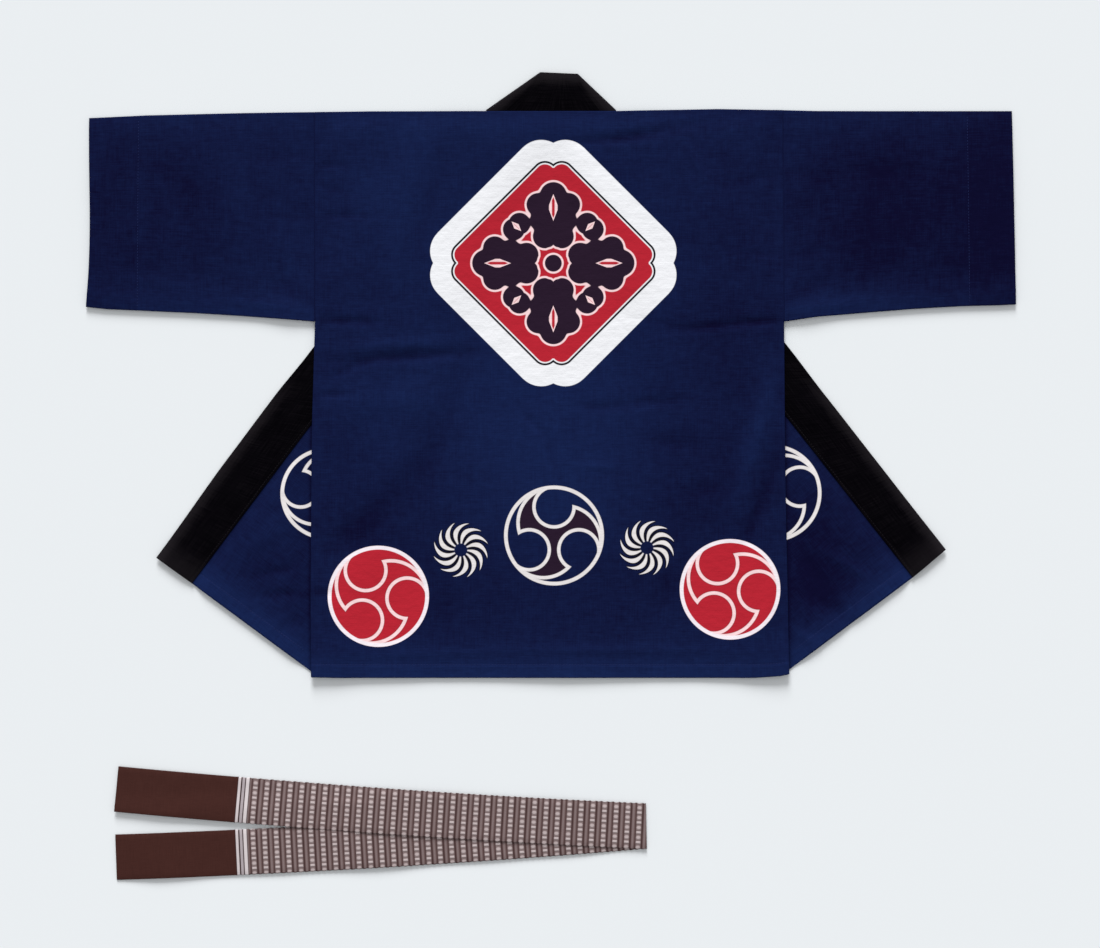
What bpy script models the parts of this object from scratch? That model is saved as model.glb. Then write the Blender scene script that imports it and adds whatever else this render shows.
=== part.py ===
"""Happi coat laid flat with its back up, and its folded belt beside it.

Every piece that is cut and sewn is one closed wall of cloth, worked out from its cut. Metres,
+Z up. The origin is on the surface that the cloth lies on, under the middle of coat and belt.
Coat sizes are measured out from the centre line and down from the shoulder line.
"""

from collections import namedtuple
from math import cos, pi, radians, sin

import bpy
import numpy as np

# Cloth
CLOTH = 0.0012              # one layer of the navy cotton
BAND = 0.0020               # the doubled collar band
BELT_CLOTH = 0.0016
SEAM_GAP = 0.0003           # left between pieces that are sewn or lie together

# Coat
COAT_X = -0.0034            # centre line of the coat
SHOULDER_Y = 0.5148         # its shoulder line
BACK_LENGTH = 0.802
FRONT_LENGTH = 0.795        # the fronts end a little above the back's hem
COLLAR_WIDTH = 0.0617
CUFF_CROWN = 0.0022         # how far a sleeve's upper layer stands proud of the lower one
CROWN_FULLNESS = 0.7        # below 1, a sleeve is as full near its edges as in its middle
PLATE_BEVEL = 0.3           # of its thickness, along the band's upper edge

# How layers ride up over what lies under them
CLEAR_REACH = 0.033         # full height is kept this far round a layer below
SETTLE_REACH = 0.058        # and the cloth is down again this far out
CREASE_SHOULDER = 0.003     # the back keeps its height this far past a crease below it
CREASE_SETTLE = 0.030
NARROW_SHOULDER = 0.12      # where the creases are close, these shares of the way between them
NARROW_SETTLE = 0.30
HEM_CREASE_INSET = 0.002    # a front's crease stops this far inside its side seam at the hem

# Grids
BODY_ROWS = 36
NECK_ROWS = 7               # rows above the point where the fronts start to turn out
ROW_ABOVE_CREASE = 0.002    # the last of them is this far above it
ROW_BELOW_CREASE = 0.010    # and the next row this far below it
FLAT_COLUMNS = 16
CENTRE_COLUMNS = 17
TURNED_COLUMNS = 6
FOLD_STEPS = 4

# Each half of the coat. tilt: the collar's lean from the centre line. neck: where its seam
# meets the shoulder line, out from the centre. plate: the neck stretch's top corner (out, up).
Half = namedtuple("Half", "name sign tilt neck plate_top plate_foot")
HALVES = (
    Half("left", -1, radians(36.9), 0.0092, (0.0095, 0.0582), 0.0888),
    Half("right", 1, radians(38.2), 0.0026, (0.0394, 0.0560), 0.0956),
)
NECK_SEAM_DROP = 0.0035     # the collar seams start this far below the shoulder line
PLATE_FOOT = 0.0028         # foot of the neck stretch, above the shoulder line
PLATE_INSET = 0.0015        # the bands under the neck stretch end this far inside its edge

# Side seams: down from the shoulder, then how far out the left and the right one lie.
SIDE_SEAM = np.array([
    # down    left    right
    (0.0000, 0.3320, 0.3320),
    (0.2968, 0.3313, 0.3339),
    (0.4500, 0.3358, 0.3353),
    (0.5500, 0.3368, 0.3365),
    (0.6910, 0.3377, 0.3396),
    (0.8020, 0.3368, 0.3412),
])
# Shoulder edge: across the coat (left is minus), then how far it lies above the shoulder line.
SHOULDER_EDGE = np.array([
    # across   up
    (-0.3320, 0.0007),
    (-0.2500, 0.0018),
    (0.1000, 0.0021),
    (0.1600, 0.0035),
    (0.2400, 0.0050),
    (0.3320, 0.0035),
])
SHOULDER_FADE = 0.12        # the unevenness of the shoulder edge is gone this far down
# Back hem: across the coat, then how much shorter than BACK_LENGTH it is there.
BACK_HEM = np.array([
    # across  short
    (-0.3400, 0.0010),
    (-0.3000, 0.0000),
    (0.2900, 0.0000),
    (0.3280, 0.0026),
    (0.3420, 0.0056),
])
# Soft folds that stand up in the back: the middle of each (across, down), its length, the turn
# of its line from level, its width and its height.
BACK_FOLDS = np.array([
    # across  down    length  turn    width   height
    (-0.218, 0.362, 0.170, -6.0, 0.034, 0.0020),
    (-0.235, 0.560, 0.120, 24.0, 0.036, 0.0018),
    (0.292, 0.500, 0.150, 58.0, 0.034, 0.0024),
    (0.150, 0.036, 0.190, 2.0, 0.030, 0.0014),
    (-0.290, 0.322, 0.110, -28.0, 0.030, 0.0018),
    (0.285, 0.330, 0.120, 30.0, 0.030, 0.0018),
    (0.020, 0.690, 0.200, 4.0, 0.040, 0.0014),
])
FOLD_FOOT = 0.0001          # a fold's tails below this height lie flat
# Sleeves, from armhole to cuff: how far out the folded top and the sewn foot of each section
# lie, and how far they are above the shoulder line.
SLEEVE_SECTIONS = {
    "left": np.array([
        # out top  out foot  top      foot
        (0.3323, 0.3318, 0.0007, -0.2968),
        (0.3838, 0.3838, 0.0001, -0.2926),
        (0.4349, 0.4349, -0.0007, -0.2887),
        (0.5030, 0.5035, -0.0023, -0.2846),
        (0.5711, 0.5725, -0.0040, -0.2815),
        (0.6250, 0.6280, -0.0066, -0.2790),
        (0.6519, 0.6562, -0.0078, -0.2759),
    ]),
    "right": np.array([
        # out top  out foot  top      foot
        (0.3323, 0.3344, 0.0035, -0.2968),
        (0.3793, 0.3805, 0.0023, -0.2899),
        (0.4474, 0.4490, 0.0021, -0.2842),
        (0.5155, 0.5175, 0.0021, -0.2787),
        (0.5835, 0.5870, 0.0021, -0.2748),
        (0.6350, 0.6395, 0.0021, -0.2735),
        (0.6573, 0.6629, 0.0021, -0.2723),
    ]),
}
CROWN_SECTIONS = 3.0        # the fullness grows from the armhole over this many sections
SLEEVE_STATIONS = 9
SLEEVE_RUN = 8              # cells across a sleeve's upper and lower layer

# Belt: one strip folded in two, its fold at the right
BELT_WIDTH = 0.0645
BELT_ARM = 0.7520           # from fold to end, along the middle
BELT_FOLD = (0.1336, -0.4964)
BELT_TILT = radians(-0.28)  # the middle direction between the arms, from -X
BELT_OPENING = radians(3.66)    # each arm turns this far from the middle direction
BELT_CELLS = 38             # along one arm
BELT_COLUMNS = 4
BELT_CLEAR = 0.026          # the upper arm is at full height this far round the lower one
BELT_SETTLE = 0.036         # and down on the surface this far out
BELT_PAST_FOLD = 0.010      # the lower arm's outline is taken a little past the fold

NAVY = (0.010, 0.018, 0.080)
BLACK = (0.006, 0.005, 0.007)
BROWN = (0.075, 0.030, 0.022)
ROUGHNESS = 0.85


def lookup(table, key, column):
    """Value of a table's column at key, its rows being in order of their first column."""
    return np.interp(key, table[:, 0], table[:, column])


def smooth(x):
    """0 below 0, 1 above 1 and a soft ramp between."""
    x = np.clip(x, 0.0, 1.0)
    return x * x * (3.0 - 2.0 * x)


def outside(point, corners):
    """How far a point lies outside a convex outline; negative inside."""
    corners = np.asarray(corners)
    along = np.roll(corners, -1, axis=0) - corners
    area = np.sum(corners[:, 0] * np.roll(corners[:, 1], -1) - corners[:, 1] * np.roll(corners[:, 0], -1))
    turn = np.sign(area)
    normal = turn * np.column_stack([along[:, 1], -along[:, 0]])
    normal /= np.linalg.norm(normal, axis=1)[:, None]
    return np.max(np.sum((np.asarray(point) - corners) * normal, axis=1))


def side_out(half, down):
    return lookup(SIDE_SEAM, down, 1 if half.sign < 0 else 2)


class FrontCut:
    """One front's lines, as (out, up) from the neck point.

    The crease runs from crease_top to the foot of the side seam and halves the collar's tilt, so
    that turning the cut over it lays the straight collar seam on the line seam_top to seam_foot.
    """

    def __init__(self, half):
        self.half = half
        self.seam_top = np.array([half.neck, -NECK_SEAM_DROP])
        self.seam_way = np.array([sin(half.tilt), -cos(half.tilt)])
        self.crease_way = np.array([sin(half.tilt / 2), -cos(half.tilt / 2)])
        crease_foot = np.array([side_out(half, FRONT_LENGTH) - HEM_CREASE_INSET, -FRONT_LENGTH])
        ways = np.column_stack([self.seam_way, -self.crease_way])
        reach = np.linalg.solve(ways, crease_foot - self.seam_top)
        self.crease_top = self.seam_top + reach[0] * self.seam_way
        self.crease_foot = crease_foot
        self.seam_foot = self.crease_top + (FRONT_LENGTH + self.crease_top[1]) * self.seam_way
        self.outward = np.array([cos(half.tilt), sin(half.tilt)])

    def inner_edge(self, down):
        """Where the flat part ends: the neck seam above crease_top, the crease below it."""
        seam = self.seam_top[0] + (down + self.seam_top[1]) * self.seam_way[0] / -self.seam_way[1]
        drop = down + self.crease_top[1]
        crease = self.crease_top[0] + drop * self.crease_way[0] / -self.crease_way[1]
        return max(self.half.neck, min(seam, crease))

    def turn_over(self, point):
        """A point of the unfolded cut, turned over the crease."""
        from_top = np.asarray(point) - self.crease_top
        return self.crease_top + 2.0 * from_top.dot(self.crease_way) * self.crease_way - from_top

    def collar_outline(self):
        """The straight band, from its end at the hem to just inside the edge of the neck stretch."""
        seam_foot = self.seam_foot + SEAM_GAP * self.outward
        edge_foot = self.seam_foot + COLLAR_WIDTH * self.outward
        reach = 2.0 * FRONT_LENGTH
        strip = [
            seam_foot,
            edge_foot,
            edge_foot - reach * self.seam_way,
            seam_foot - reach * self.seam_way,
        ]
        top = np.array(self.half.plate_top)
        slant = np.array([self.half.plate_foot, PLATE_FOOT]) - top
        slant_side = np.array([-slant[1], slant[0]]) / np.linalg.norm(slant)
        strip = cut_off(strip, top - PLATE_INSET * slant_side, slant_side)
        strip = cut_off(strip, top - (0.0, PLATE_INSET), np.array([0.0, 1.0]))
        return cut_off(strip, self.seam_top, np.array([-1.0, 0.0]))

    def turned_outline(self):
        return [self.crease_top, self.seam_foot, self.crease_foot]


def cut_off(corners, point, normal):
    """A convex outline with what lies beyond a line, on the side of its normal, cut off."""
    kept = []
    for i, corner in enumerate(corners):
        before = corners[i - 1]
        side = (corner - point).dot(normal)
        side_before = (before - point).dot(normal)
        if (side > 0) != (side_before > 0):
            kept.append(before + (corner - before) * side_before / (side_before - side))
        if side <= 0:
            kept.append(corner)
    return kept


FRONTS = {half.sign: FrontCut(half) for half in HALVES}
OUTLINES = {sign: (cut.collar_outline(), cut.turned_outline()) for sign, cut in FRONTS.items()}


def layer_height(out, up, sign):
    """Height of the underside of the coat's lowest flat layer, over collar and turned-out front."""
    collar, turned = OUTLINES[sign]
    height = 0.0
    for outline, thickness in ((collar, BAND), (turned, CLOTH)):
        far = outside((out, up), outline)
        fall = smooth((SETTLE_REACH - far) / (SETTLE_REACH - CLEAR_REACH))
        height = max(height, (thickness + SEAM_GAP) * float(fall))
    return height


def body_rows():
    """How far down each row of fronts and back lies; a row falls just below each crease's top."""
    crease_downs = [-cut.crease_top[1] for cut in FRONTS.values()]
    upper = np.linspace(0.0, min(crease_downs) - ROW_ABOVE_CREASE, NECK_ROWS)
    lower = np.linspace(max(crease_downs) + ROW_BELOW_CREASE, FRONT_LENGTH, BODY_ROWS - NECK_ROWS)
    return np.concatenate([upper, lower])


ROWS = body_rows()


def row_up(across, down):
    """Height on the page of a point down a row, with the shoulder edge's unevenness faded out."""
    fade = max(0.0, 1.0 - down / SHOULDER_FADE)
    return lookup(SHOULDER_EDGE, across, 1) * fade - down


def flat_row(half, down):
    """(out, up, underside) along one row of a front's flat part, from side seam to inner edge."""
    cut = FRONTS[half.sign]
    inner = cut.inner_edge(down)
    outs = np.linspace(side_out(half, down), inner, FLAT_COLUMNS + 1)
    ups = [row_up(half.sign * out, down) for out in outs]
    return [(out, up, layer_height(out, up, half.sign)) for out, up in zip(outs, ups)]


def fold_height(across, down):
    """How far the back's folds raise it: each is a ridge that dies away along and across."""
    middle_across, middle_down, length, turn, width, height = BACK_FOLDS.T
    turn = np.radians(turn)
    east, north = across - middle_across, middle_down - down
    along = east * np.cos(turn) + north * np.sin(turn)
    aside = north * np.cos(turn) - east * np.sin(turn)
    ridges = height * np.exp(-(2 * along / length) ** 2 - (2 * aside / width) ** 2)
    return max(0.0, float(np.sum(ridges)) - FOLD_FOOT)


def placed(out, up, z, sign):
    return (COAT_X + sign * out, SHOULDER_Y + up, z)


def make_object(name, points, triangles, colour, roughness):
    """One named piece from its points and triangles, with its own material."""
    used = np.unique(np.asarray(triangles))
    new_index = np.full(len(points), -1)
    new_index[used] = np.arange(len(used))
    mesh = bpy.data.meshes.new(name)
    mesh.from_pydata([tuple(points[i]) for i in used], [], new_index[np.asarray(triangles)].tolist())
    mesh.validate()
    mesh.update()
    material = bpy.data.materials.new(name)
    material.use_nodes = True
    shader = material.node_tree.nodes["Principled BSDF"]
    shader.inputs["Base Color"].default_value = (*colour, 1.0)
    shader.inputs["Roughness"].default_value = roughness
    shader.inputs["Metallic"].default_value = 0.0
    material.diffuse_color = (*colour, 1.0)
    mesh.materials.append(material)
    piece = bpy.data.objects.new(name, mesh)
    bpy.context.scene.collection.objects.link(piece)
    return piece


def wall(name, first, second, cells, colour, flip=False, mirror_column=None):
    """A closed wall between two grids of points, over the cells that exist.

    flip swaps the way all faces turn. From mirror_column on, cells are split along the other
    diagonal, so that the two halves of a panel are split alike.
    """
    mirror_column = first.shape[1] if mirror_column is None else mirror_column
    rows, columns = first.shape[:2]
    index = np.arange(rows * columns).reshape(rows, columns)
    offset = rows * columns
    triangles = []
    edges = {}
    for r in range(rows - 1):
        for c in range(columns - 1):
            if not cells[r, c]:
                continue
            a, b = int(index[r, c]), int(index[r, c + 1])
            d, e = int(index[r + 1, c]), int(index[r + 1, c + 1])
            halves = ((a, b, e), (a, e, d)) if c < mirror_column else ((a, b, d), (b, e, d))
            for tri in halves:
                triangles.append(tri)
                triangles.append(tuple(offset + i for i in reversed(tri)))
            for edge in ((a, b), (b, e), (e, d), (d, a)):
                edges[edge] = edges.get(edge, 0) + 1
    for (i, j) in edges:
        if (j, i) in edges:
            continue
        triangles.append((j, i, offset + i))
        triangles.append((j, offset + i, offset + j))
    if flip:
        triangles = [tuple(reversed(tri)) for tri in triangles]
    points = np.concatenate([first.reshape(-1, 3), second.reshape(-1, 3)])
    return make_object(name, points, triangles, colour, ROUGHNESS)


def plate(name, corners, bottom, thickness, colour):
    """A flat piece with a convex outline, softened by a small bevel along its upper edge."""
    corners = np.asarray(corners, float)
    area = np.sum(corners[:, 0] * np.roll(corners[:, 1], -1) - corners[:, 1] * np.roll(corners[:, 0], -1))
    if area < 0:
        corners = corners[::-1]
    middle = corners.mean(axis=0)
    bevel = thickness * PLATE_BEVEL
    inward = middle - corners
    inward /= np.linalg.norm(inward, axis=1)[:, None]
    count = len(corners)
    levels = [
        (corners, bottom),
        (corners, bottom + thickness - bevel),
        (corners + bevel * inward, bottom + thickness),
    ]
    points = [(x, y, z) for outline, z in levels for x, y in outline]
    triangles = []
    for level in range(len(levels) - 1):
        low, high = level * count, (level + 1) * count
        for i in range(count):
            j = (i + 1) % count
            triangles.append((low + i, low + j, high + j))
            triangles.append((low + i, high + j, high + i))
    top = (len(levels) - 1) * count
    for i in range(1, count - 1):
        triangles.append((top, top + i, top + i + 1))
        triangles.append((0, i + 1, i))
    return make_object(name, points, triangles, colour, ROUGHNESS)


def make_front(half):
    """A front: flat part, rolled crease, and the part turned out on the surface, outer side up."""
    cut = FRONTS[half.sign]
    fold_radius = (CLOTH + SEAM_GAP) / 2
    crease_side = np.array([cut.crease_way[1], -cut.crease_way[0]])
    seam_edge = cut.crease_top[0] + SEAM_GAP
    middle = CLOTH + SEAM_GAP / 2
    columns = FLAT_COLUMNS + FOLD_STEPS + TURNED_COLUMNS + 1
    outer = np.zeros((len(ROWS), columns, 3))
    inner = np.zeros((len(ROWS), columns, 3))
    for r, down in enumerate(ROWS):
        flat = flat_row(half, down)
        for c, (out, up, z) in enumerate(flat):
            outer[r, c] = placed(out, up, z, half.sign)
            inner[r, c] = placed(out, up, z + CLOTH, half.sign)
        edge = np.array(flat[-1][:2])
        column = FLAT_COLUMNS + 1
        for step in range(1, FOLD_STEPS):
            angle = pi * step / FOLD_STEPS
            for grid, radius in ((outer, fold_radius - CLOTH / 2), (inner, fold_radius + CLOTH / 2)):
                out, up = edge + radius * sin(angle) * crease_side
                grid[r, column] = placed(out, up, middle + radius * cos(angle), half.sign)
            column += 1
        for step in range(TURNED_COLUMNS + 1):
            out = edge[0] + (seam_edge - edge[0]) * step / TURNED_COLUMNS
            out, up = cut.turn_over((out, -down))
            outer[r, column] = placed(out, up, CLOTH, half.sign)
            inner[r, column] = placed(out, up, 0.0, half.sign)
            column += 1
    cells = np.ones((len(ROWS) - 1, columns - 1), bool)
    cells[:NECK_ROWS, FLAT_COLUMNS:] = False
    return wall(f"front_{half.name}", outer, inner, cells, NAVY, flip=half.sign > 0)


def make_back():
    """The back, resting on the fronts where they lie under it and on the surface between them."""
    lift = CLOTH + SEAM_GAP
    downs = list(ROWS) + [BACK_LENGTH]
    columns = 2 * FLAT_COLUMNS + CENTRE_COLUMNS + 1
    under = np.zeros((len(downs), columns, 3))
    for r, down in enumerate(downs):
        row = min(r, len(ROWS) - 1)
        flats = [flat_row(half, ROWS[row]) for half in HALVES]
        if r == len(ROWS):
            shift = BACK_LENGTH - FRONT_LENGTH
            flats = [[(out, up - shift, z) for out, up, z in flat] for flat in flats]
        points = [(-out, up, z + lift) for out, up, z in flats[0]]
        start, end = -flats[0][-1][0], flats[1][-1][0]
        width = end - start
        near = min(CREASE_SHOULDER, NARROW_SHOULDER * width)
        settled = min(CREASE_SETTLE, NARROW_SETTLE * width)
        middle = np.linspace(start + settled, end - settled, CENTRE_COLUMNS - 3)
        acrosses = [start + near, *middle, end - near]
        heights = (flats[0][-1][2] + lift, flats[1][-1][2] + lift)
        for across in acrosses:
            z = 0.0
            for height, far in zip(heights, (across - start, end - across)):
                fall = smooth((CREASE_SETTLE - far) / (CREASE_SETTLE - CREASE_SHOULDER))
                z = max(z, height * float(fall))
            points.append((across, row_up(across, down), z))
        points += [(out, up, z + lift) for out, up, z in reversed(flats[1])]
        for c, (across, up, z) in enumerate(points):
            if r == len(ROWS):
                up = lookup(BACK_HEM, across, 1) - BACK_LENGTH
            under[r, c] = placed(across, up, z + fold_height(across, down), 1)
    top = under + np.array([0.0, 0.0, CLOTH])
    cells = np.ones((len(downs) - 1, columns - 1), bool)
    return wall("back", under, top, cells, NAVY, mirror_column=columns // 2)


def sleeve_loop(section, sign, crown, inset):
    """One closed loop round a flat sleeve, inset from its outer side."""
    out_top, out_foot, up_top, up_foot = section
    radius = CLOTH + SEAM_GAP / 2
    small = radius - inset
    loop = []
    for i in range(SLEEVE_RUN + 1):
        share = i / SLEEVE_RUN
        up = (up_top - radius) + share * (up_foot - up_top + 2 * radius)
        loop.append((share, up, -small))
    for i in range(1, FOLD_STEPS):
        angle = pi * i / FOLD_STEPS
        loop.append((1.0, up_foot + radius - small * sin(angle), -small * cos(angle)))
    for i in range(SLEEVE_RUN + 1):
        share = 1.0 - i / SLEEVE_RUN
        up = (up_top - radius) + share * (up_foot - up_top + 2 * radius)
        loop.append((share, up, small + crown * sin(pi * share) ** CROWN_FULLNESS))
    for i in range(1, FOLD_STEPS):
        angle = pi * i / FOLD_STEPS
        loop.append((0.0, up_top - radius + small * sin(angle), small * cos(angle)))
    points = []
    for share, up, z in loop:
        out = out_top + share * (out_foot - out_top)
        points.append(placed(out, up, radius + z + layer_height(out, up, sign), sign))
    return points


def make_sleeve(half):
    """A sleeve: a flat tube of one layer, folded along its top and open at armhole and cuff."""
    table = SLEEVE_SECTIONS[half.name]
    keys = np.linspace(0.0, len(table) - 1.0, SLEEVE_STATIONS)
    sections = [[np.interp(key, range(len(table)), table[:, c]) for c in range(4)] for key in keys]
    sections[0][0] = side_out(half, 0.0) + SEAM_GAP
    outer, inner = [], []
    for key, section in zip(keys, sections):
        crown = CUFF_CROWN * float(smooth(key / CROWN_SECTIONS))
        loops = [sleeve_loop(section, half.sign, crown, inset) for inset in (0.0, CLOTH)]
        for loop, rows in zip(loops, (outer, inner)):
            if key == 0.0:
                loop = [seam_side(half, point) for point in loop]
            rows.append(loop + loop[:1])
    outer, inner = np.array(outer), np.array(inner)
    count = outer.shape[1] - 1
    stations = len(sections)
    triangles = []

    def ring(side, row, i):
        return side * stations * count + row * count + i % count

    for row in range(stations - 1):
        for i in range(count):
            a, b = ring(0, row, i), ring(0, row, i + 1)
            d, e = ring(0, row + 1, i), ring(0, row + 1, i + 1)
            triangles += [(a, e, b), (a, d, e)]
            a, b = ring(1, row, i), ring(1, row, i + 1)
            d, e = ring(1, row + 1, i), ring(1, row + 1, i + 1)
            triangles += [(a, b, e), (a, e, d)]
    for row, order in ((0, 1), (stations - 1, -1)):
        for i in range(count):
            quad = (ring(0, row, i), ring(0, row, i + 1), ring(1, row, i + 1), ring(1, row, i))
            for tri in ((quad[0], quad[1], quad[2]), (quad[0], quad[2], quad[3])):
                triangles.append(tri[::order])
    if half.sign < 0:
        triangles = [tri[::-1] for tri in triangles]
    points = np.concatenate([outer[:, :-1].reshape(-1, 3), inner[:, :-1].reshape(-1, 3)])
    return make_object(f"sleeve_{half.name}", points, triangles, NAVY, ROUGHNESS)


def seam_side(half, point):
    """A point of a sleeve's open end, moved out to just clear of the body's side edge."""
    x, y, z = point
    out = side_out(half, SHOULDER_Y - y) + SEAM_GAP
    return (COAT_X + half.sign * out, y, z)


def make_collar():
    """The band in three stretches: one on each front, and the neck stretch folded over them."""
    for half in HALVES:
        corners = [placed(out, up, 0.0, half.sign)[:2] for out, up in OUTLINES[half.sign][0]]
        plate(f"collar_{half.name}", corners, 0.0, BAND, BLACK)
    corners = []
    for half, order in zip(HALVES, (1, -1)):
        feet_and_tops = [(half.plate_foot, PLATE_FOOT), half.plate_top]
        corners += [placed(out, up, 0.0, half.sign)[:2] for out, up in feet_and_tops[::order]]
    plate("collar_neck", corners, BAND + SEAM_GAP, BAND, BLACK)


def make_belt():
    """The belt: a strip that runs right on the surface, folds over itself and comes back."""
    radius = (BELT_CLOTH + SEAM_GAP) / 2
    middle = BELT_CLOTH + SEAM_GAP / 2
    half_width = BELT_WIDTH / 2
    fold = np.array(BELT_FOLD)
    angle = BELT_TILT + BELT_OPENING
    way = np.array([cos(angle), sin(angle)])
    across = np.array([-way[1], way[0]])
    mirror_way = np.array([cos(BELT_TILT), sin(BELT_TILT)])
    back_way = way - 2.0 * way.dot(mirror_way) * mirror_way
    start = fold - BELT_ARM * way
    past_fold = fold + BELT_PAST_FOLD * way
    low_arm = [
        start - half_width * across,
        past_fold - half_width * across,
        past_fold + half_width * across,
        start + half_width * across,
    ]
    stations = 2 * BELT_CELLS + FOLD_STEPS + 1
    outer = np.zeros((BELT_COLUMNS + 1, stations, 3))
    inner = np.zeros((BELT_COLUMNS + 1, stations, 3))
    for row in range(BELT_COLUMNS + 1):
        side = -half_width + BELT_WIDTH * row / BELT_COLUMNS
        base = start + side * across
        length = (fold - base).dot(mirror_way) / way.dot(mirror_way)
        column = 0
        for step in range(BELT_CELLS + 1):
            x, y = base + way * length * step / BELT_CELLS
            outer[row, column] = (x, y, 0.0)
            inner[row, column] = (x, y, BELT_CLOTH)
            column += 1
        edge = base + way * length
        for step in range(1, FOLD_STEPS):
            bend = pi * step / FOLD_STEPS
            for grid, reach in ((outer, radius + BELT_CLOTH / 2), (inner, radius - BELT_CLOTH / 2)):
                x, y = edge + reach * sin(bend) * mirror_way
                grid[row, column] = (x, y, middle - reach * cos(bend))
            column += 1
        back_length = 2 * BELT_ARM - length
        for step in range(BELT_CELLS + 1):
            x, y = edge + back_way * back_length * step / BELT_CELLS
            far = outside((x, y), low_arm)
            fall = float(smooth((BELT_SETTLE - far) / (BELT_SETTLE - BELT_CLEAR)))
            z = (BELT_CLOTH + SEAM_GAP) * fall
            outer[row, column] = (x, y, z + BELT_CLOTH)
            inner[row, column] = (x, y, z)
            column += 1
    cells = np.ones((BELT_COLUMNS, stations - 1), bool)
    return wall("belt", outer, inner, cells, BROWN, flip=True)


def main():
    for item in list(bpy.data.objects):
        bpy.data.objects.remove(item, do_unlink=True)
    make_back()
    for half in HALVES:
        make_front(half)
        make_sleeve(half)
    make_collar()
    make_belt()


main()
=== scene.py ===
from functools import partialmethod
from math import cos, pi, radians, sin

import bpy
import numpy as np
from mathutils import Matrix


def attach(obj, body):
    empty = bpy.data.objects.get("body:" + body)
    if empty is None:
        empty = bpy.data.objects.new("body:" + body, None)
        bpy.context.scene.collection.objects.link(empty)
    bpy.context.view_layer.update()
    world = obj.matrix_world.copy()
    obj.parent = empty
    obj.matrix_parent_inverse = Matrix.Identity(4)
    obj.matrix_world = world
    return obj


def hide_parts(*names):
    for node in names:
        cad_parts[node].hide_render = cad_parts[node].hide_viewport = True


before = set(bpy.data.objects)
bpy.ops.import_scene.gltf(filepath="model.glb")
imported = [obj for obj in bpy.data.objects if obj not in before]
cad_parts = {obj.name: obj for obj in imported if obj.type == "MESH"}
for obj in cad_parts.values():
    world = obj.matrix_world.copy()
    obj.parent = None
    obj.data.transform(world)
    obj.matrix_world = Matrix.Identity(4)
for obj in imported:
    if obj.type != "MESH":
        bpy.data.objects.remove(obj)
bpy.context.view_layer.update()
print("solids loaded:", ", ".join(sorted(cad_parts)))

# A happi coat laid flat, back up, and its folded belt. Metres, out from the centre line and down
# from the shoulder line. hem: how much lower a front ends at its crease, collar seam and edge.
coat = {
    "centre": -0.0034,
    "shoulder": 0.5148,
    "backLength": 0.802,
    "frontLength": 0.795,
    "cloth": 0.0012,  # one layer of navy cotton
    "band": 0.0020,  # the doubled collar band
    "gap": 0.0003,  # between pieces that touch
    "collarWidth": 0.0617,
    "neckDrop": 0.0035,  # from the shoulder line to the collar seams
    "creaseInset": 0.002,  # from a side seam in to the front's crease
    "keepHeight": 0.033,  # cloth stays up this far round what it lies on
    "settle": 0.095,  # and is down this far out
    "bandUnder": 0.793,  # length of band below the back
    "edgeReach": 0.12,  # the shoulder edge's unevenness ends here
}
halves = {
    "left": {"side": -1, "tilt": radians(36.9), "neck": 0.0092, "hem": (-0.0005, 0.0012, 0.0023),
             "plateTop": (0.0095, 0.0582), "plateFoot": (0.0888, 0.0028)},
    "right": {"side": 1, "tilt": radians(38.2), "neck": 0.0026, "hem": (-0.0024, 0.0034, 0.0012),
              "plateTop": (0.0394, 0.0560), "plateFoot": (0.0956, 0.0028)},
}
# In tenths of a millimetre: down, then how far out the left and the right side seam lie.
sideSeam = np.array(((0, 3320, 3320), (2968, 3313, 3339), (4500, 3358, 3353), (5500, 3368, 3365),
                     (6910, 3377, 3396), (8020, 3368, 3412))) / 10000
# Across, then how far the shoulder edge lies above its line.
shoulderEdge = np.array(((-3320, 7), (-2500, 18), (1000, 21), (1600, 35), (2400, 50), (3320, 35))) / 10000
# Across, then how much shorter the back is there.
backHem = np.array(((-3400, 10), (-3000, 0), (2900, 0), (3280, 26), (3420, 56))) / 10000


# 0 below 0, 1 above 1 and 3x^2 - 2x^3 between.
def smooth(x):
    x = np.clip(x, 0.0, 1.0)
    return x * x * (3.0 - 2.0 * x)


# A bell: 1 at 0, falling as exp(-(x / reach)^2).
def bell(x, reach):
    return np.exp(-(x / reach) ** 2)


# A column of a table at key, in a straight line from row to row.
def lookup(table, key, column=1):
    return np.interp(key, table[:, 0], table[:, column])


# The running sum of steps, from 0.
def running(steps):
    return np.concatenate([[0.0], np.cumsum(steps)])


# How far along a line its points lie.
def lengthAlong(line):
    return running(np.linalg.norm(np.diff(line, axis=0), axis=1))


# Numbers or grids joined into points.
def joined(*parts):
    return np.stack(np.broadcast_arrays(*parts), axis=-1)


# Places from start to end, coarse apart but fine near marks: the running sum of how many places
# a metre should have, in equal shares.
def places(start, end, coarse, marks=(), fine=0.0007, reach=0.0035, samples=6000):
    x = np.linspace(start, end, samples)
    density = np.full_like(x, 1.0 / coarse)
    for mark in marks:
        density += bell(x - mark, reach) / fine
    total = running(0.5 * (density[1:] + density[:-1]) * np.diff(x))
    return np.interp(np.linspace(0.0, total[-1], int(total[-1]) + 2), total, x)


# How much an edge is rounded down at a distance from it: a quarter circle of that radius.
def edgeDrop(distance, radius=0.0009):
    share = 1.0 - np.clip(distance / radius, 0.0, 1.0)
    return radius * (1.0 - np.sqrt(1.0 - share * share))


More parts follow.
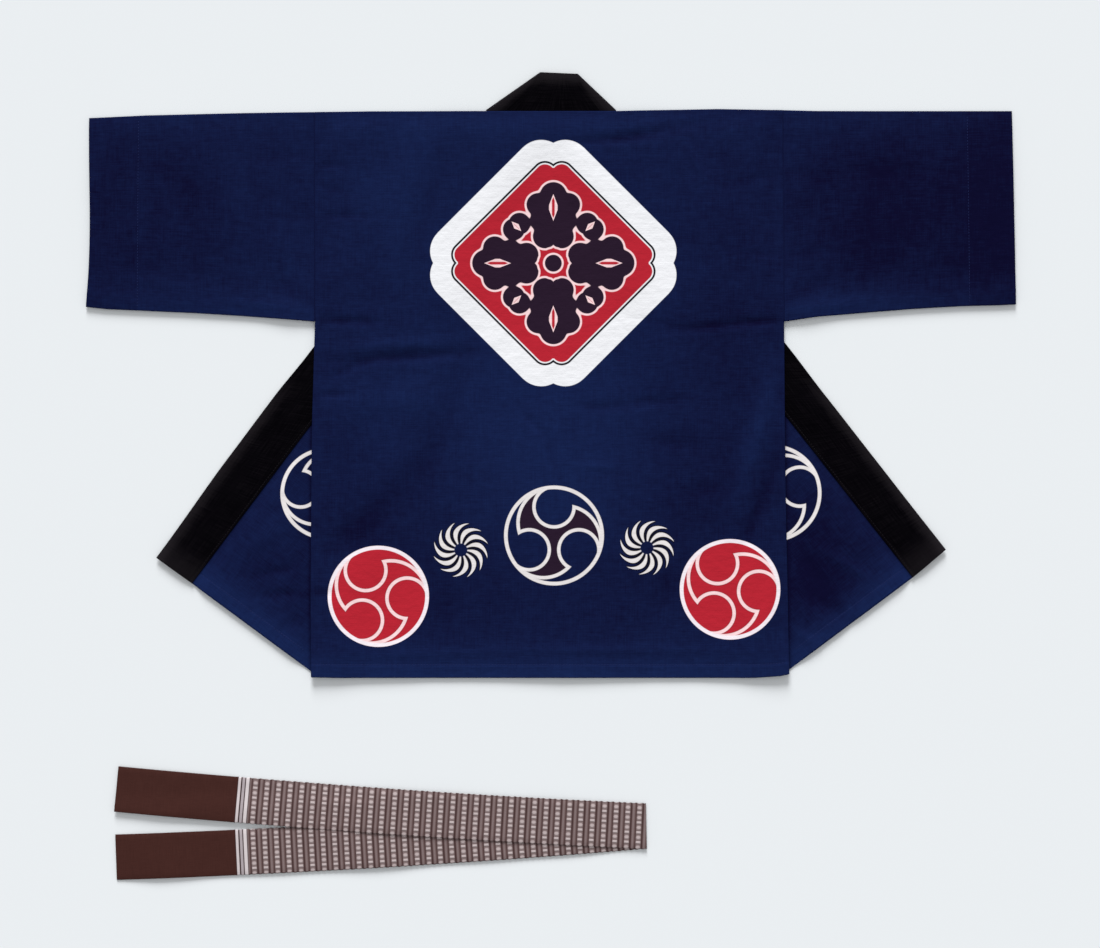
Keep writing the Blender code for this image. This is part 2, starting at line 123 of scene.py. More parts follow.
# How high soft folds raise the cloth: each row is a ridge, or a trough if its height is below 0,
# a bell along its line and across it. In millimetres and degrees, height in tenths.
def folds(across, down, table):
    units = (1000, 1000, 1000, 1, 1000, 10000)
    middleAcross, middleDown, length, turn, width, height = (np.array(table) / units).T
    turn = np.radians(turn)
    east = across[..., None] - middleAcross
    north = middleDown - down[..., None]
    along = east * np.cos(turn) + north * np.sin(turn)
    aside = north * np.cos(turn) - east * np.sin(turn)
    return np.sum(height * np.exp(-(2 * along / length) ** 2 - (2 * aside / width) ** 2), axis=-1)


# The slight waviness of laid cloth: four crossed sines.
def unevenness(across, down, amount):
    waves = np.sin(across * 47 + 2.0 * np.sin(down * 19)) + np.sin(down * 61 + 1.3 * np.sin(across * 23))
    small = np.sin(across * 118 - down * 71) + np.sin(across * 83 + down * 139 + 1.0)
    return amount * (1.0 + 0.30 * waves + 0.12 * small)


# How far out a half's side seam lies at a way down.
def sideOut(half, down):
    return lookup(sideSeam, down, 1 if half["side"] < 0 else 2)


# Points from how far they lie out and up from the coat's centre and shoulder lines; without a
# half, out is across the whole coat.
def place(out, up, z, half=None):
    side = half["side"] if half else 1
    return joined(coat["centre"] + side * out, coat["shoulder"] + up, z)


# A front's lines as (out, up). The collar seam leans by tilt and the crease by half of that, so
# the seam turned over it runs straight on.
def frontLines(half):
    tilt, length = half["tilt"], coat["frontLength"]
    seamTop = np.array([half["neck"], -coat["neckDrop"]])
    seamWay, creaseWay = (np.array([sin(angle), -cos(angle)]) for angle in (tilt, tilt / 2))
    creaseFoot = np.array([sideOut(half, length) - coat["creaseInset"], -length])
    reach = np.linalg.solve(np.column_stack([seamWay, -creaseWay]), creaseFoot - seamTop)
    creaseTop = seamTop + reach[0] * seamWay
    seamFoot = creaseTop + (length + creaseTop[1]) * seamWay
    outward = np.array([cos(tilt), sin(tilt)])
    edgeFoot = seamFoot + coat["collarWidth"] * outward + half["hem"][2] * seamWay
    seamStart = seamFoot + coat["gap"] * outward + half["hem"][1] * seamWay
    half["lines"] = {"seamTop": seamTop, "seamWay": seamWay, "seamStart": seamStart, "outward": outward,
                     "creaseTop": creaseTop, "creaseWay": creaseWay, "edgeFoot": edgeFoot}
    edgeTop = edgeFoot - coat["bandUnder"] * seamWay
    half["laidBelow"] = (
        ([seamStart, edgeFoot, edgeTop, edgeTop - coat["collarWidth"] * outward], coat["band"]),
        ([creaseTop, seamFoot, creaseFoot], coat["cloth"]),
    )


for half in halves.values():
    frontLines(half)


# Where a front's flat part ends: at the neck seam, then at the crease.
def innerEdge(half, down):
    lines = half["lines"]
    seamWay, creaseWay = lines["seamWay"], lines["creaseWay"]
    seam = lines["seamTop"][0] + (down + lines["seamTop"][1]) * seamWay[0] / -seamWay[1]
    crease = lines["creaseTop"][0] + (down + lines["creaseTop"][1]) * creaseWay[0] / -creaseWay[1]
    return np.maximum(half["neck"], np.minimum(seam, crease))


# Points (out, up) turned over the crease: mirrored by its line.
def turnOver(half, out, up):
    top, way = half["lines"]["creaseTop"], half["lines"]["creaseWay"]
    east, north = out - top[0], up - top[1]
    along = east * way[0] + north * way[1]
    return top[0] + 2 * along * way[0] - east, top[1] + 2 * along * way[1] - north


# How far points lie outside a convex outline, below 0 inside: the largest distance to a side.
def farOutside(out, up, corners):
    corners = np.array(corners)
    following = np.roll(corners, -1, axis=0)
    turn = np.sign(np.sum(corners[:, 0] * following[:, 1] - corners[:, 1] * following[:, 0]))
    along = following - corners
    normal = turn * np.column_stack([along[:, 1], -along[:, 0]])
    normal /= np.linalg.norm(normal, axis=1)[:, None]
    return np.max((out[..., None] - corners[:, 0]) * normal[:, 0]
                  + (up[..., None] - corners[:, 1]) * normal[:, 1], axis=-1)


# Height of the lowest flat layer's underside, over collar and turned-out front.
def layerHeight(half, out, up):
    height = np.zeros(np.broadcast(out, up).shape)
    for corners, thickness in half["laidBelow"]:
        far = farOutside(out, up, corners)
        fall = smooth((coat["settle"] - far) / (coat["settle"] - coat["keepHeight"]))
        height = np.maximum(height, (thickness + coat["gap"]) * fall)
    return height


# How far up a point lies: minus how far down, with the shoulder edge's unevenness.
def rowUp(across, down):
    return lookup(shoulderEdge, across) * np.clip(1.0 - down / coat["edgeReach"], 0.0, 1.0) - down


hem = {
    "press": 0.0015,  # width of a turned edge's step
    "groove": 0.0011,  # reach of its stitches' groove
}


# 1 where a turned edge lies double, 0 beyond, from the distance to the edge.
def turnedIn(distance, depth):
    return smooth((depth - distance) / hem["press"])


# The groove of its stitches: a bell, 1 on their line.
def groove(distance, depth):
    return bell(distance - depth + hem["press"], hem["groove"])


# The row of a grid that a turned edge's stitches run on.
def stitchRow(distance, depth):
    return np.argmin(np.abs(distance - depth + hem["press"]))


# Parts of the bake map as left, foot, right and top.
bake = {
    "margin": 0.006,
    "far": 0.994,
    "foot": 0.034,
    "rim": (0.006, 0.004, 0.994, 0.024),
    "rimRows": 4,  # rows of cells that hold the rim's faces
    "rimFace": ((0.1, 0.1), (0.9, 0.1), (0.9, 0.9), (0.1, 0.9)),  # in shares of a cell
    "stacked": ((0.006, 0.034, 0.994, 0.494), (0.006, 0.506, 0.994, 0.970)),
}


# Boxes of the bake map for two sides beside each other, parted at a share.
def sideBySide(parting):
    return ((bake["margin"], bake["foot"], parting - bake["margin"], bake["far"]),
            (parting + bake["margin"], bake["foot"], bake["far"], bake["far"]))


# The bake map: each side scaled into its box, and the rim's faces in rows of small cells.
def bakeMap(flat, sides, rims, boxes):
    used = np.unique(sides[0])
    low, high = flat[used].min(axis=0), flat[used].max(axis=0)
    share = (flat - low) / (high - low)
    boxes = np.array([*boxes, bake["rim"]])
    start, size = boxes[:, :2], boxes[:, 2:] - boxes[:, :2]
    maps = [start[order] + share[side] * size[order] for order, side in enumerate(sides)]
    perRow = int(np.ceil(rims / bake["rimRows"]))
    cell = size[2] / (perRow, bake["rimRows"])
    order = np.arange(rims)
    origin = start[2] + np.column_stack([order % perRow, order // perRow]) * cell
    return np.concatenate([*maps, origin[:, None, :] + np.array(bake["rimFace"]) * cell])


# A closed shell between two grids of points: each kept cell gives a face on both sides, an edge
# with no twin a rim face. cut and printed are the cloth's own coordinates in metres.
def shell(name, upper, lower, cut, printed, boxes, tone, cells=None, wrap=False, sharp=radians(55)):
    rows, columns = upper.shape[:2]
    count = rows * columns
    spot = np.arange(count).reshape(rows, columns)
    number = spot.copy()
    if wrap:
        number[:, -1] = number[:, 0]
    kept = np.ones((rows - 1, columns - 1), bool) if cells is None else cells
    corner = np.stack([spot[:-1, :-1], spot[1:, :-1], spot[1:, 1:], spot[:-1, 1:]], axis=-1)[kept]
    edge = np.stack([corner, np.roll(corner, -1, axis=1)], axis=-1).reshape(-1, 2)
    number = number.reshape(-1)
    begin, end = number[edge].T
    rim = edge[~np.isin(begin * count + end, end * count + begin)]
    faceSpot = np.concatenate([corner, corner[:, ::-1], rim[:, [1, 0, 0, 1]]])
    lowerSide = np.concatenate([np.zeros_like(corner), np.ones_like(corner),
                                np.tile([0, 0, 1, 1], (len(rim), 1))])
    face = number[faceSpot] + count * lowerSide
    points = np.concatenate([upper.reshape(-1, 3), lower.reshape(-1, 3)])
    cut, printed = cut.reshape(-1, 2), printed.reshape(-1, 2)
    bakes = bakeMap(cut, (corner, corner[:, ::-1]), len(rim), boxes)

    # Faces turn outwards if the volume they enclose is above 0.
    a, b, c, d = (points[face[:, i]] for i in range(4))
    if np.sum(a * np.cross(b, c)) + np.sum(a * np.cross(c, d)) < 0:
        face, faceSpot, bakes = face[:, ::-1], faceSpot[:, ::-1], bakes[:, ::-1]
    kinds, face = np.unique(face, return_inverse=True)
    face = face.reshape(-1, 4)
    mesh = bpy.data.meshes.new(name)
    mesh.vertices.add(len(kinds))
    mesh.vertices.foreach_set("co", points[kinds].astype(np.float32).ravel())
    mesh.loops.add(face.size)
    mesh.loops.foreach_set("vertex_index", face.astype(np.int32).ravel())
    mesh.polygons.add(len(face))
    mesh.polygons.foreach_set("loop_start", np.arange(0, face.size, 4, dtype=np.int32))
    mesh.update(calc_edges=True)
    mesh.validate()
    for layer, values in (("cut", cut[faceSpot]), ("print", printed[faceSpot]), ("OFBake", bakes)):
        mesh.uv_layers.new(name=layer).uv.foreach_set("vector", values.astype(np.float32).ravel())
    tones = np.concatenate([tone.reshape(-1), tone.reshape(-1)])[kinds]
    mesh.attributes.new("tone", "FLOAT", "POINT").data.foreach_set("value", tones.astype(np.float32))
    mesh.polygons.foreach_set("use_smooth", np.ones(len(face), bool))
    mesh.set_sharp_from_angle(angle=sharp)
    return shown(name, mesh)


# A mesh's object, in the scene.
def shown(name, mesh):
    piece = bpy.data.objects.new(name, mesh)
    bpy.context.scene.collection.objects.link(piece)
    return piece


# A colour from screen values of 0 to 255, made linear.
def paint(red, green, blue):
    values = np.array([red, green, blue]) / 255.0
    linear = np.where(values > 0.04045, ((values + 0.055) / 1.055) ** 2.4, values / 12.92)
    return (*(float(v) for v in linear), 1.0)


class Amount:
    # A number that nodes work out; sums and products of Amounts add Math nodes.
    def __init__(self, socket):
        self.socket = socket

    # One Math node of this and other numbers or Amounts.
    def join(self, operation, *others, clamp=False):
        tree = self.socket.id_data
        node = tree.nodes.new("ShaderNodeMath")
        node.operation = operation
        node.use_clamp = clamp
        for entry, value in zip(node.inputs, (self, *others)):
            if isinstance(value, Amount):
                tree.links.new(value.socket, entry)
            else:
                entry.default_value = value
        return Amount(node.outputs[0])

    def __neg__(self):
        return self * -1.0

    def __rsub__(self, other):
        return -self + other


for sign, operation in (("add", "ADD"), ("radd", "ADD"), ("sub", "SUBTRACT"), ("mul", "MULTIPLY"),
                        ("rmul", "MULTIPLY"), ("truediv", "DIVIDE"), ("gt", "GREATER_THAN"),
                        ("abs", "ABSOLUTE")):
    setattr(Amount, f"__{sign}__", partialmethod(Amount.join, operation))


# The smaller of two Amounts.
def lowest(a, b):
    return a.join("MINIMUM", b)


# The larger of two Amounts.
def highest(a, b):
    return a.join("MAXIMUM", b)


# How far (x, y) lies from 0, 0.
def far(x, y):
    return (x * x + y * y).join("SQRT")


# 1 inside a shape and 0 outside it, from the distance to its edge, soft over about a thread.
def inside(distance, soft=0.0008):
    return distance.join("MULTIPLY_ADD", -1.0 / soft, 0.5, clamp=True)


# The value of the last row (start, value) whose start lies below x.
def chosenBy(x, rows):
    total = rows[0][1]
    for (_, before), (start, value) in zip(rows, rows[1:]):
        total = (x > start) * (value - before) + total
    return total


# x and y turned by an angle whose cosine and sine are given.
def turned(x, y, cosine, sine):
    return x * cosine + y * sine, y * cosine - x * sine


# One colour laid over another by a mask.
def over(tree, mask, below, above):
    node = tree.nodes.new("ShaderNodeMix")
    node.data_type = "RGBA"
    node.clamp_factor = True
    tree.links.new(mask.socket, node.inputs["Factor"])
    for name, colour in (("A", below), ("B", above)):
        entry = next(s for s in node.inputs if s.name == name and s.type == "RGBA")
        if isinstance(colour, tuple):
            entry.default_value = colour
        else:
            tree.links.new(colour, entry)
    return next(s for s in node.outputs if s.type == "RGBA")


# A fresh material, its tree and its shader.
def newFinish(name, roughness, shine):
    material = bpy.data.materials.new(name)
    material.use_nodes = True
    tree = material.node_tree
    shader = tree.nodes["Principled BSDF"]
    shader.inputs["Roughness"].default_value = roughness
    shader.inputs["Specular IOR Level"].default_value = shine
    return material, tree, shader


# A material of one colour.
def plainFinish(name, colour, roughness, shine):
    material, _, shader = newFinish(name, roughness, shine)
    shader.inputs["Base Color"].default_value = colour
    return material


# A piece's own coordinates in metres, as two Amounts.
def ownCoordinates(tree, layer):
    node = tree.nodes.new("ShaderNodeUVMap")
    node.uv_map = layer
    split = tree.nodes.new("ShaderNodeSeparateXYZ")
    tree.links.new(node.outputs["UV"], split.inputs[0])
    return Amount(split.outputs["X"]), Amount(split.outputs["Y"])


# The tone that a piece's own points carry.
def ownTone(tree):
    node = tree.nodes.new("ShaderNodeAttribute")
    node.attribute_name = "tone"
    return Amount(node.outputs["Fac"])


# A sine along x, one wave a pitch.
def ripple(x, pitch):
    return (x * (2 * pi / pitch)).join("SINE")


# Noise of x and y, each scaled: streaks where one scale is small.
def noise(tree, x, y, scaleX, scaleY, detail=2.0, roughness=0.5):
    vector = tree.nodes.new("ShaderNodeCombineXYZ")
    tree.links.new((x * scaleX).socket, vector.inputs["X"])
    tree.links.new((y * scaleY).socket, vector.inputs["Y"])
    node = tree.nodes.new("ShaderNodeTexNoise")
    node.noise_dimensions = "2D"
    node.inputs["Scale"].default_value = 1.0
    node.inputs["Detail"].default_value = detail
    node.inputs["Roughness"].default_value = roughness
    tree.links.new(vector.outputs[0], node.inputs["Vector"])
    return Amount(node.outputs[0])


# Bump of a height in metres, worked out by nodes, on the shader's normal.
def bumped(tree, shader, height):
    node = tree.nodes.new("ShaderNodeBump")
    node.inputs["Strength"].default_value = 1.0
    node.inputs["Distance"].default_value = 1.0
    tree.links.new(height.socket, node.inputs["Height"])
    tree.links.new(node.outputs["Normal"], shader.inputs["Normal"])


cotton = {
    "deep": paint(9, 8, 40),
    "bright": paint(22, 38, 82),
    "white": paint(234, 235, 239),
    "natural": paint(224, 219, 219),
    "red": paint(178, 36, 50),
    "rose": paint(243, 211, 214),
    "ring": paint(238, 229, 236),
    "aubergine": paint(39, 25, 42),
    "ink": paint(12, 9, 20),
    "seam": paint(15, 20, 56),
    "roughness": 0.86,
    "shine": 0.03,
    "thread": 0.0009,  # from thread to thread
    "slub": 0.33,  # strength of thick threads
    "clouds": (0.75, 0.42),  # the dye's unevenness: middle and strength
    # painted shade and highlight: how much lighter a fold's ridge and darker its trough is painted, for its
    # height
    "paintedFoldShade": 79.0,  # how much lighter a ridge is for its height
    "relief": (0.00005, 0.00010, 0.0006),  # heights of weave, thick threads and crumples
}


# Indigo cotton: two blues mixed by tone (with its painted shade, shadow, highlight and glow), clouds of
# dye and thick threads both ways; the weave is sin(x) * sin(y), a wave being two threads.
def indigo(tree, shader):
    x, y = ownCoordinates(tree, "cut")
    clouds = noise(tree, x, y, 15.0, 15.0, detail=3.0) * 0.5
    clouds += noise(tree, x, y, 75.0, 75.0, detail=5.0, roughness=0.7)
    warp, weft = noise(tree, x, y, 820.0, 26.0), noise(tree, x, y, 24.0, 760.0)
    slubs = (warp - 0.5) * 0.9 + (weft - 0.5) + (noise(tree, x + 0.7, y, 90.0, 1900.0) - 0.5) * 0.6
    middle, strength = cotton["clouds"]
    mix = ownTone(tree) + (clouds - middle) * strength + slubs * cotton["slub"]
    weave = ripple(x, 2 * cotton["thread"]) * ripple(y, 2 * cotton["thread"])
    crumple = noise(tree, x, y, 70.0, 95.0, detail=3.0)
    weaveHeight, slubHeight, crumpleHeight = cotton["relief"]
    bumped(tree, shader, weave * weaveHeight + slubs * slubHeight + crumple * crumpleHeight)
    return over(tree, mix, cotton["deep"], cotton["bright"])


# A comma of radius 1: a round head, and a tail between a large circle and a line, given by the
# sine and cosine of its turn; then the ring round three.
comma = {
    "head": (0.568, 0.398),
    "circle": (0.2207, -0.1174, 0.705),
    "line": (0.4695, 0.8829),
    "ring": 0.955,
}


# The distance to one comma, its tail being where x > 0.
def commaDistance(x, y):
    up, headRadius = comma["head"]
    head = far(x, y - up) - headRadius
    middleX, middleY, radius = comma["circle"]
    hollow = radius - far(x - middleX, y - middleY)
    sine, cosine = comma["line"]
    wedge = highest(-x, -(y * cosine + x * sine))
    return lowest(head, highest(hollow, wedge))


# Three commas a third of a turn apart: the distances to the nearest, to the ring's line and to
# the disc inside it, in metres.
def threeCommas(x, y, radius):
    x, y = x / radius, y / radius
    nearest = commaDistance(x, y)
    for angle in (2 * pi / 3, -2 * pi / 3):
        nearest = lowest(nearest, commaDistance(*turned(x, y, cos(angle), sin(angle))))
    disc = far(x, y) - comma["ring"]
    return nearest * radius, abs(disc) * radius, disc * radius


# A mask of a crest's lines: round its commas inside the disc, and along its ring.
def crestLines(nearest, ring, disc):
    return highest(inside(abs(nearest) - prints["line"]) * inside(disc), inside(ring - prints["ring"]))


blade = {
    "count": 12,
    "radius": 0.0389,  # of the wheel, in metres
    "hole": 0.24,  # as a share
    "bend": radians(34),
    "start": radians(4),
    "half": 0.285,  # half its width in shares of the pitch
    "taper": 0.11,  # how much less at the hole
    "runIn": 0.55,  # from here out the front edge runs in
    "narrow": 0.50,  # by this much at the rim
}


# A wheel of blades round a hole: their middles turn back as the square of how far out they are,
# and the front edge runs into the back edge at the rim.
def wheel(x, y):
    out = far(x, y) / blade["radius"]
    reach = ((out - blade["hole"]) / (1.0 - blade["hole"])).join("MAXIMUM", 0.0)
    angle = y.join("ARCTAN2", x) + reach * reach * blade["bend"] + blade["start"]
    phase = (angle * (blade["count"] / (2 * pi)) + 0.5).join("FRACT") - 0.5
    half = blade["half"] - (1.0 - reach).join("MAXIMUM", 0.0).join("POWER", 3.0) * blade["taper"]
    late = ((reach - blade["runIn"]) / (1.0 - blade["runIn"])).join("MAXIMUM", 0.0)
    front = half - late * late * blade["narrow"]
    pitch = out * (blade["radius"] * 2 * pi / blade["count"])
    sides = highest(phase - front, -phase - half) * pitch
    rim = highest(blade["hole"] - out, out - 1.0) * blade["radius"]
    return highest(sides, rim)


# The distance to a lozenge with cut corners and a pair of lobes at each corner, in metres.
def lozenge(larger, smaller, side, corner, lobe, lobeOut, lobeRadius):
    edges = highest((larger + smaller - side) * prints["aslant"], larger - corner)
    return lowest(edges, far(larger - lobeOut, smaller - lobe) - lobeRadius)


# A slit: a wedge on an axis that narrows away from it, cut off at a height.
def slit(along, aside, middle, lean, half, height):
    return highest(abs(along - middle) + aside * lean - half, aside - height) * prints["slope"]


# The flower, by symmetry in one eighth: round petals joined softly, less slits, with a seed in
# a ring.
def flower(a, b):
    petal = far(a - prints["tip"][0], b) - prints["tip"][1]
    for middleA, middleB, radius in prints["petals"]:
        petal = petal.join("SMOOTH_MIN", far(a - middleA, b - middleB) - radius, prints["soft"])
    along, aside = (a + b) * prints["aslant"], (a - b) * prints["aslant"]
    slits = lowest(slit(a, b, *prints["petalSlit"]), slit(along, aside, *prints["budSlit"]))
    seed = far(a, b) - prints["seed"]
    ring = abs(far(a, b) - prints["seedRing"][0]) - prints["seedRing"][1]
    return highest(lowest(highest(petal, -slits), seed), -ring)


prints = {
    "lozenge": (0.0067, -0.2138),
    # side, corner, lobe, how far out the lobe lies, its radius
    "frame": (0.2068, 0.1641, 0.0170, 0.1383, 0.0362),
    "field": (0.1623, 0.1386, 0.0118, 0.1265, 0.0170),
    "fieldLine": 0.0014,  # half the width of the line round the field
    "fieldInset": 0.0033,
    "aslant": 0.7071,  # cosine of 45 degrees
    "slope": 0.7,  # a slanting edge's distance for its measure along an axis
    "tip": (0.0960, 0.0190),  # outermost petal: how far out, radius
    "petals": ((0.0830, 0.0215, 0.0165), (0.0610, 0.0150, 0.0180),
               (0.0560, 0.0480, 0.0155), (0.0380, 0.0120, 0.0170)),
    "soft": 0.006,
    "petalSlit": (0.0790, 2.6, 0.0190, 0.0060),
    "budSlit": (0.0740, 2.2, 0.0095, 0.0042),
    "seed": 0.0120,
    "seedRing": (0.0200, 0.0034),
    "bloomEdge": 0.0028,
    # start across, then across, up, radius and turn of each crest
    "crests": ((-9.0, -0.2414, -0.6862, 0.0723, 26.0),
               (-0.1200, 0.0077, -0.6000, 0.0715, 0.0),
               (0.1300, 0.2573, -0.6763, 0.0718, 26.0)),
    "outer": 0.15,  # crests farther out are red
    "wheels": ((-9.0, -0.1245, -0.6206), (0.0, 0.1396, -0.6174)),
    "wheelHole": 0.0105,
    "wheelShade": (0.0026, 0.0020),  # reach from the blades, and softness
    "line": 0.0024,  # half the width of the commas' lines
    "ring": 0.0026,  # and of the ring
    "edge": 0.0010,  # faint dark edge beside a red crest's lines
    "edgeTone": 0.30,
}


# The back's print: lozenge and flower, three crests and two wheels.
def backPrint(tree, ground):
    x, y = ownCoordinates(tree, "print")

    # A column of the row whose part of the print x lies in.
    def chosen(rows, column, change=float):
        return chosenBy(x, [(row[0], change(row[column])) for row in rows])

    crests, wheels = prints["crests"], prints["wheels"]
    across, up, radius = (chosen(crests, column) for column in (1, 2, 3))
    cosine = chosen(crests, 4, lambda turn: cos(radians(turn)))
    sine = chosen(crests, 4, lambda turn: sin(radians(turn)))
    nearest, ring, disc = threeCommas(*turned(x - across, y - up, cosine, sine), radius)
    outer = abs(x) > prints["outer"]
    middle = 1.0 - outer
    within, lines = inside(disc), crestLines(nearest, ring, disc)
    edge = inside(abs(nearest) - prints["line"] - prints["edge"]) * within * outer
    wheelX, wheelY = x - chosen(wheels, 1), y - chosen(wheels, 2)
    blades = wheel(wheelX, wheelY)
    out = far(wheelX, wheelY)
    shadeReach, shadeSoft = prints["wheelShade"]
    shade = inside(blades - shadeReach, shadeSoft) * inside(out - blade["radius"])
    shade = shade * inside(prints["wheelHole"] - out, shadeSoft)
    east, north = abs(x - prints["lozenge"][0]), abs(y - prints["lozenge"][1])
    larger, smaller = highest(east, north), lowest(east, north)
    field = lozenge(larger, smaller, *prints["field"])
    bloom = flower(larger, smaller)
    colour = ground
    for mask, paintName in (
            (within * inside(-nearest) * middle, "aubergine"),
            (within * outer, "red"),
            (edge * prints["edgeTone"], "ink"),
            (lines * middle, "natural"),
            (lines * outer, "rose"),
            (inside(ring - prints["ring"]) * outer, "ring"),
            (shade, "ink"),
            (inside(blades, 0.0010), "natural"),
            (inside(lozenge(larger, smaller, *prints["frame"])), "white"),
            (inside(abs(field) - prints["fieldLine"]), "ink"),
            (inside(field + prints["fieldInset"]), "red"),
            (inside(bloom - prints["bloomEdge"]), "rose"),
            (inside(bloom), "aubergine")):
        colour = over(tree, mask, colour, cotton[paintName])
    return colour


# A front's print: one crest in white lines.
def frontPrint(across, up, radius, turn):
    # The crest moved and turned into its place.
    def draw(tree, ground):
        x, y = ownCoordinates(tree, "print")
        spun = turned(x - across, y - up, cos(radians(turn)), sin(radians(turn)))
        return over(tree, crestLines(*threeCommas(*spun, radius)), ground, cotton["natural"])
    return draw


# Navy cotton, with a print laid over it where there is one.
def navyCotton(name, draw=None):
    material, tree, shader = newFinish(name, cotton["roughness"], cotton["shine"])
    colour = indigo(tree, shader)
    if draw:
        colour = draw(tree, colour)
    tree.links.new(colour, shader.inputs["Base Color"])
    return material


collar = {
    "stations": 150,  # along a straight stretch
    "cells": 18,  # across
    "crown": 0.0006,  # fuller along its middle
    "rollInset": 0.0015,  # from the neck's slanted edges in to the rolls
    "neckStations": 70,
    "lap": 0.0022,  # over the front's edge
    "lapStep": (0.0004, 0.035),  # its height there, for this share of the width
    "seamLine": 0.0020,  # its stitches run this far in
    "bare": 0.36,  # farther out it lies beyond the back
    # how far its outer edge lies outside a straight band's: at the foot, then at this share up
    "edges": {-1: (-0.0012, 0.0025, 0.22), 1: (-0.0022, -0.0013, 0.35)},
    "edgesEnd": 0.36,  # from here up it goes back to straight
    # after the band's own tone, painted highlight at its outer edge and foot, on its rolls and on the neck
    "tones": (0.02, 0.34, 0.22, 0.40, 0.42),  # of the band; more at its edge and foot; roll, neck
    "black": paint(2, 1, 4),
    "charcoal": paint(46, 42, 46),
    "rib": 0.0012,
}


# Black cotton: two near blacks mixed by the piece's tone, with its painted highlight, and its threads;
# slanting ribs are sin(x + y).
def blackCotton(name):
    material, tree, shader = newFinish(name, 0.8, 0.02)
    x, y = ownCoordinates(tree, "cut")
    threads = (noise(tree, x, y, 30.0, 900.0) - 0.5) + (noise(tree, x, y, 900.0, 30.0) - 0.5)
    bumped(tree, shader, ripple(x + y, collar["rib"]) * 0.00004 + threads * 0.00010)
    colour = over(tree, ownTone(tree) + threads * 0.25, collar["black"], collar["charcoal"])
    tree.links.new(colour, shader.inputs["Base Color"])
    return material


print("finishes ready")
stitched = []  # lines, with the thread's colour

back = {
    "coarse": 0.0046,  # cell size
    "columns": (0.335, (-0.3335, -0.3205, 0.3205, 0.3335)),  # half their span, fine places
    "rows": (0.001, 0.7815, 0.801),
    # hem: depth, step, groove of its stitches, how high its edge stands off and over what length
    "hem": (0.020, 0.0006, 0.0005, 0.0032, 0.075),
    "slant": (0.74, 0.06),  # where the hem's slant begins, and its length
    "crease": (0.003, 0.085),  # past a front's crease: height kept, and down here
    # allowances pressed under armhole and side seam: depth, step, how far down they end or begin
    "armhole": (0.014, 0.0006, 0.30),
    "side": (0.010, 0.0004, 0.29),
    "pressed": (0.002, 0.01),  # softness of such a step, and of its end
    "air": (0.0016, 0.04, 0.03, 0.05),  # room for troughs; how soon from sides, top and foot
    "wave": (0.0004, 0.02),
    "thin": 0.0002,  # least thickness
    # across, down, length, turn, width, height
    "folds": ((94, 39, 85, 4, 10, -31), (165, 28, 150, 8, 13, -15), (-200, 347, 170, 4, 12, -29),
              (-278, 362, 60, 22, 11, -17), (-215, 329, 160, 4, 14, 14), (-235, 410, 140, 6, 44, 17),
              (-290, 296, 90, -2, 9, -27), (-308, 400, 50, 2, 7, -17), (-148, 440, 170, 72, 40, -13),
              (-215, 540, 170, 42, 44, -15), (-268, 592, 80, 35, 40, -21), (305, 297, 55, 3, 9, -31),
              (240, 303, 130, 6, 10, -18), (165, 300, 100, -10, 12, -8), (292, 470, 210, 74, 32, 31),
              (299, 562, 140, 70, 18, -20), (222, 535, 60, 4, 22, -11), (180, 470, 80, -4, 28, -14),
              (-22, 440, 60, -48, 8, -14), (4, 485, 60, -80, 8, -14), (104, 470, 220, 90, 7, -8),
              (-127, 500, 280, 90, 7, -6), (75, 418, 70, 2, 11, -14), (150, 410, 80, 4, 13, -15),
              (70, 502, 60, 0, 11, 11), (211, 77, 52, -58, 4, 17), (-290, 147, 100, 0, 8, -11),
              (-310, 75, 45, 2, 8, -11), (-300, 110, 55, -14, 8, -8), (290, 95, 80, 10, 10, -8),
              (300, 200, 60, -6, 9, -8), (-322, 682, 35, 0, 9, -21), (-146, 715, 80, 90, 30, -14),
              (165, 680, 80, 60, 40, -14), (310, 700, 100, 80, 16, 11), (80, 762, 360, 0, 10, 11),
              (-180, 768, 200, 1, 10, 8), (-210, 170, 200, 84, 30, 10), (-165, 120, 160, 70, 26, -10)),
    # across, down, reach across, reach down, how much lighter; the first row is painted glow round the
    # lozenge, the second and tenth painted glow along the top edge and the hem, and the last three painted
    # glow round the crests
    "tones": ((7, 214, 190, 190, 16), (0, 20, 340, 24, 14), (0, 470, 130, 140, 28),
              (-215, 100, 100, 110, 14), (-200, 400, 110, 100, 12), (260, 270, 80, 240, -12),
              (240, 560, 80, 80, -14), (-240, 590, 60, 50, -10), (0, 660, 400, 70, -10),
              (0, 802, 600, 30, 42), (-240, 686, 100, 100, 10), (257, 676, 100, 100, 12),
              (8, 600, 90, 90, 8)),
}


# Lighter and darker patches: bells added to a middle tone, in millimetres and hundredths.
def patches(across, down, table, middle=0.34):
    tone = np.full(across.shape, middle)
    rows = np.array(table) / (1000, 1000, 1000, 1000, 100)
    for middleAcross, middleDown, reachAcross, reachDown, amount in rows:
        tone += amount * bell(across - middleAcross, reachAcross) * bell(down - middleDown, reachDown)
    return tone


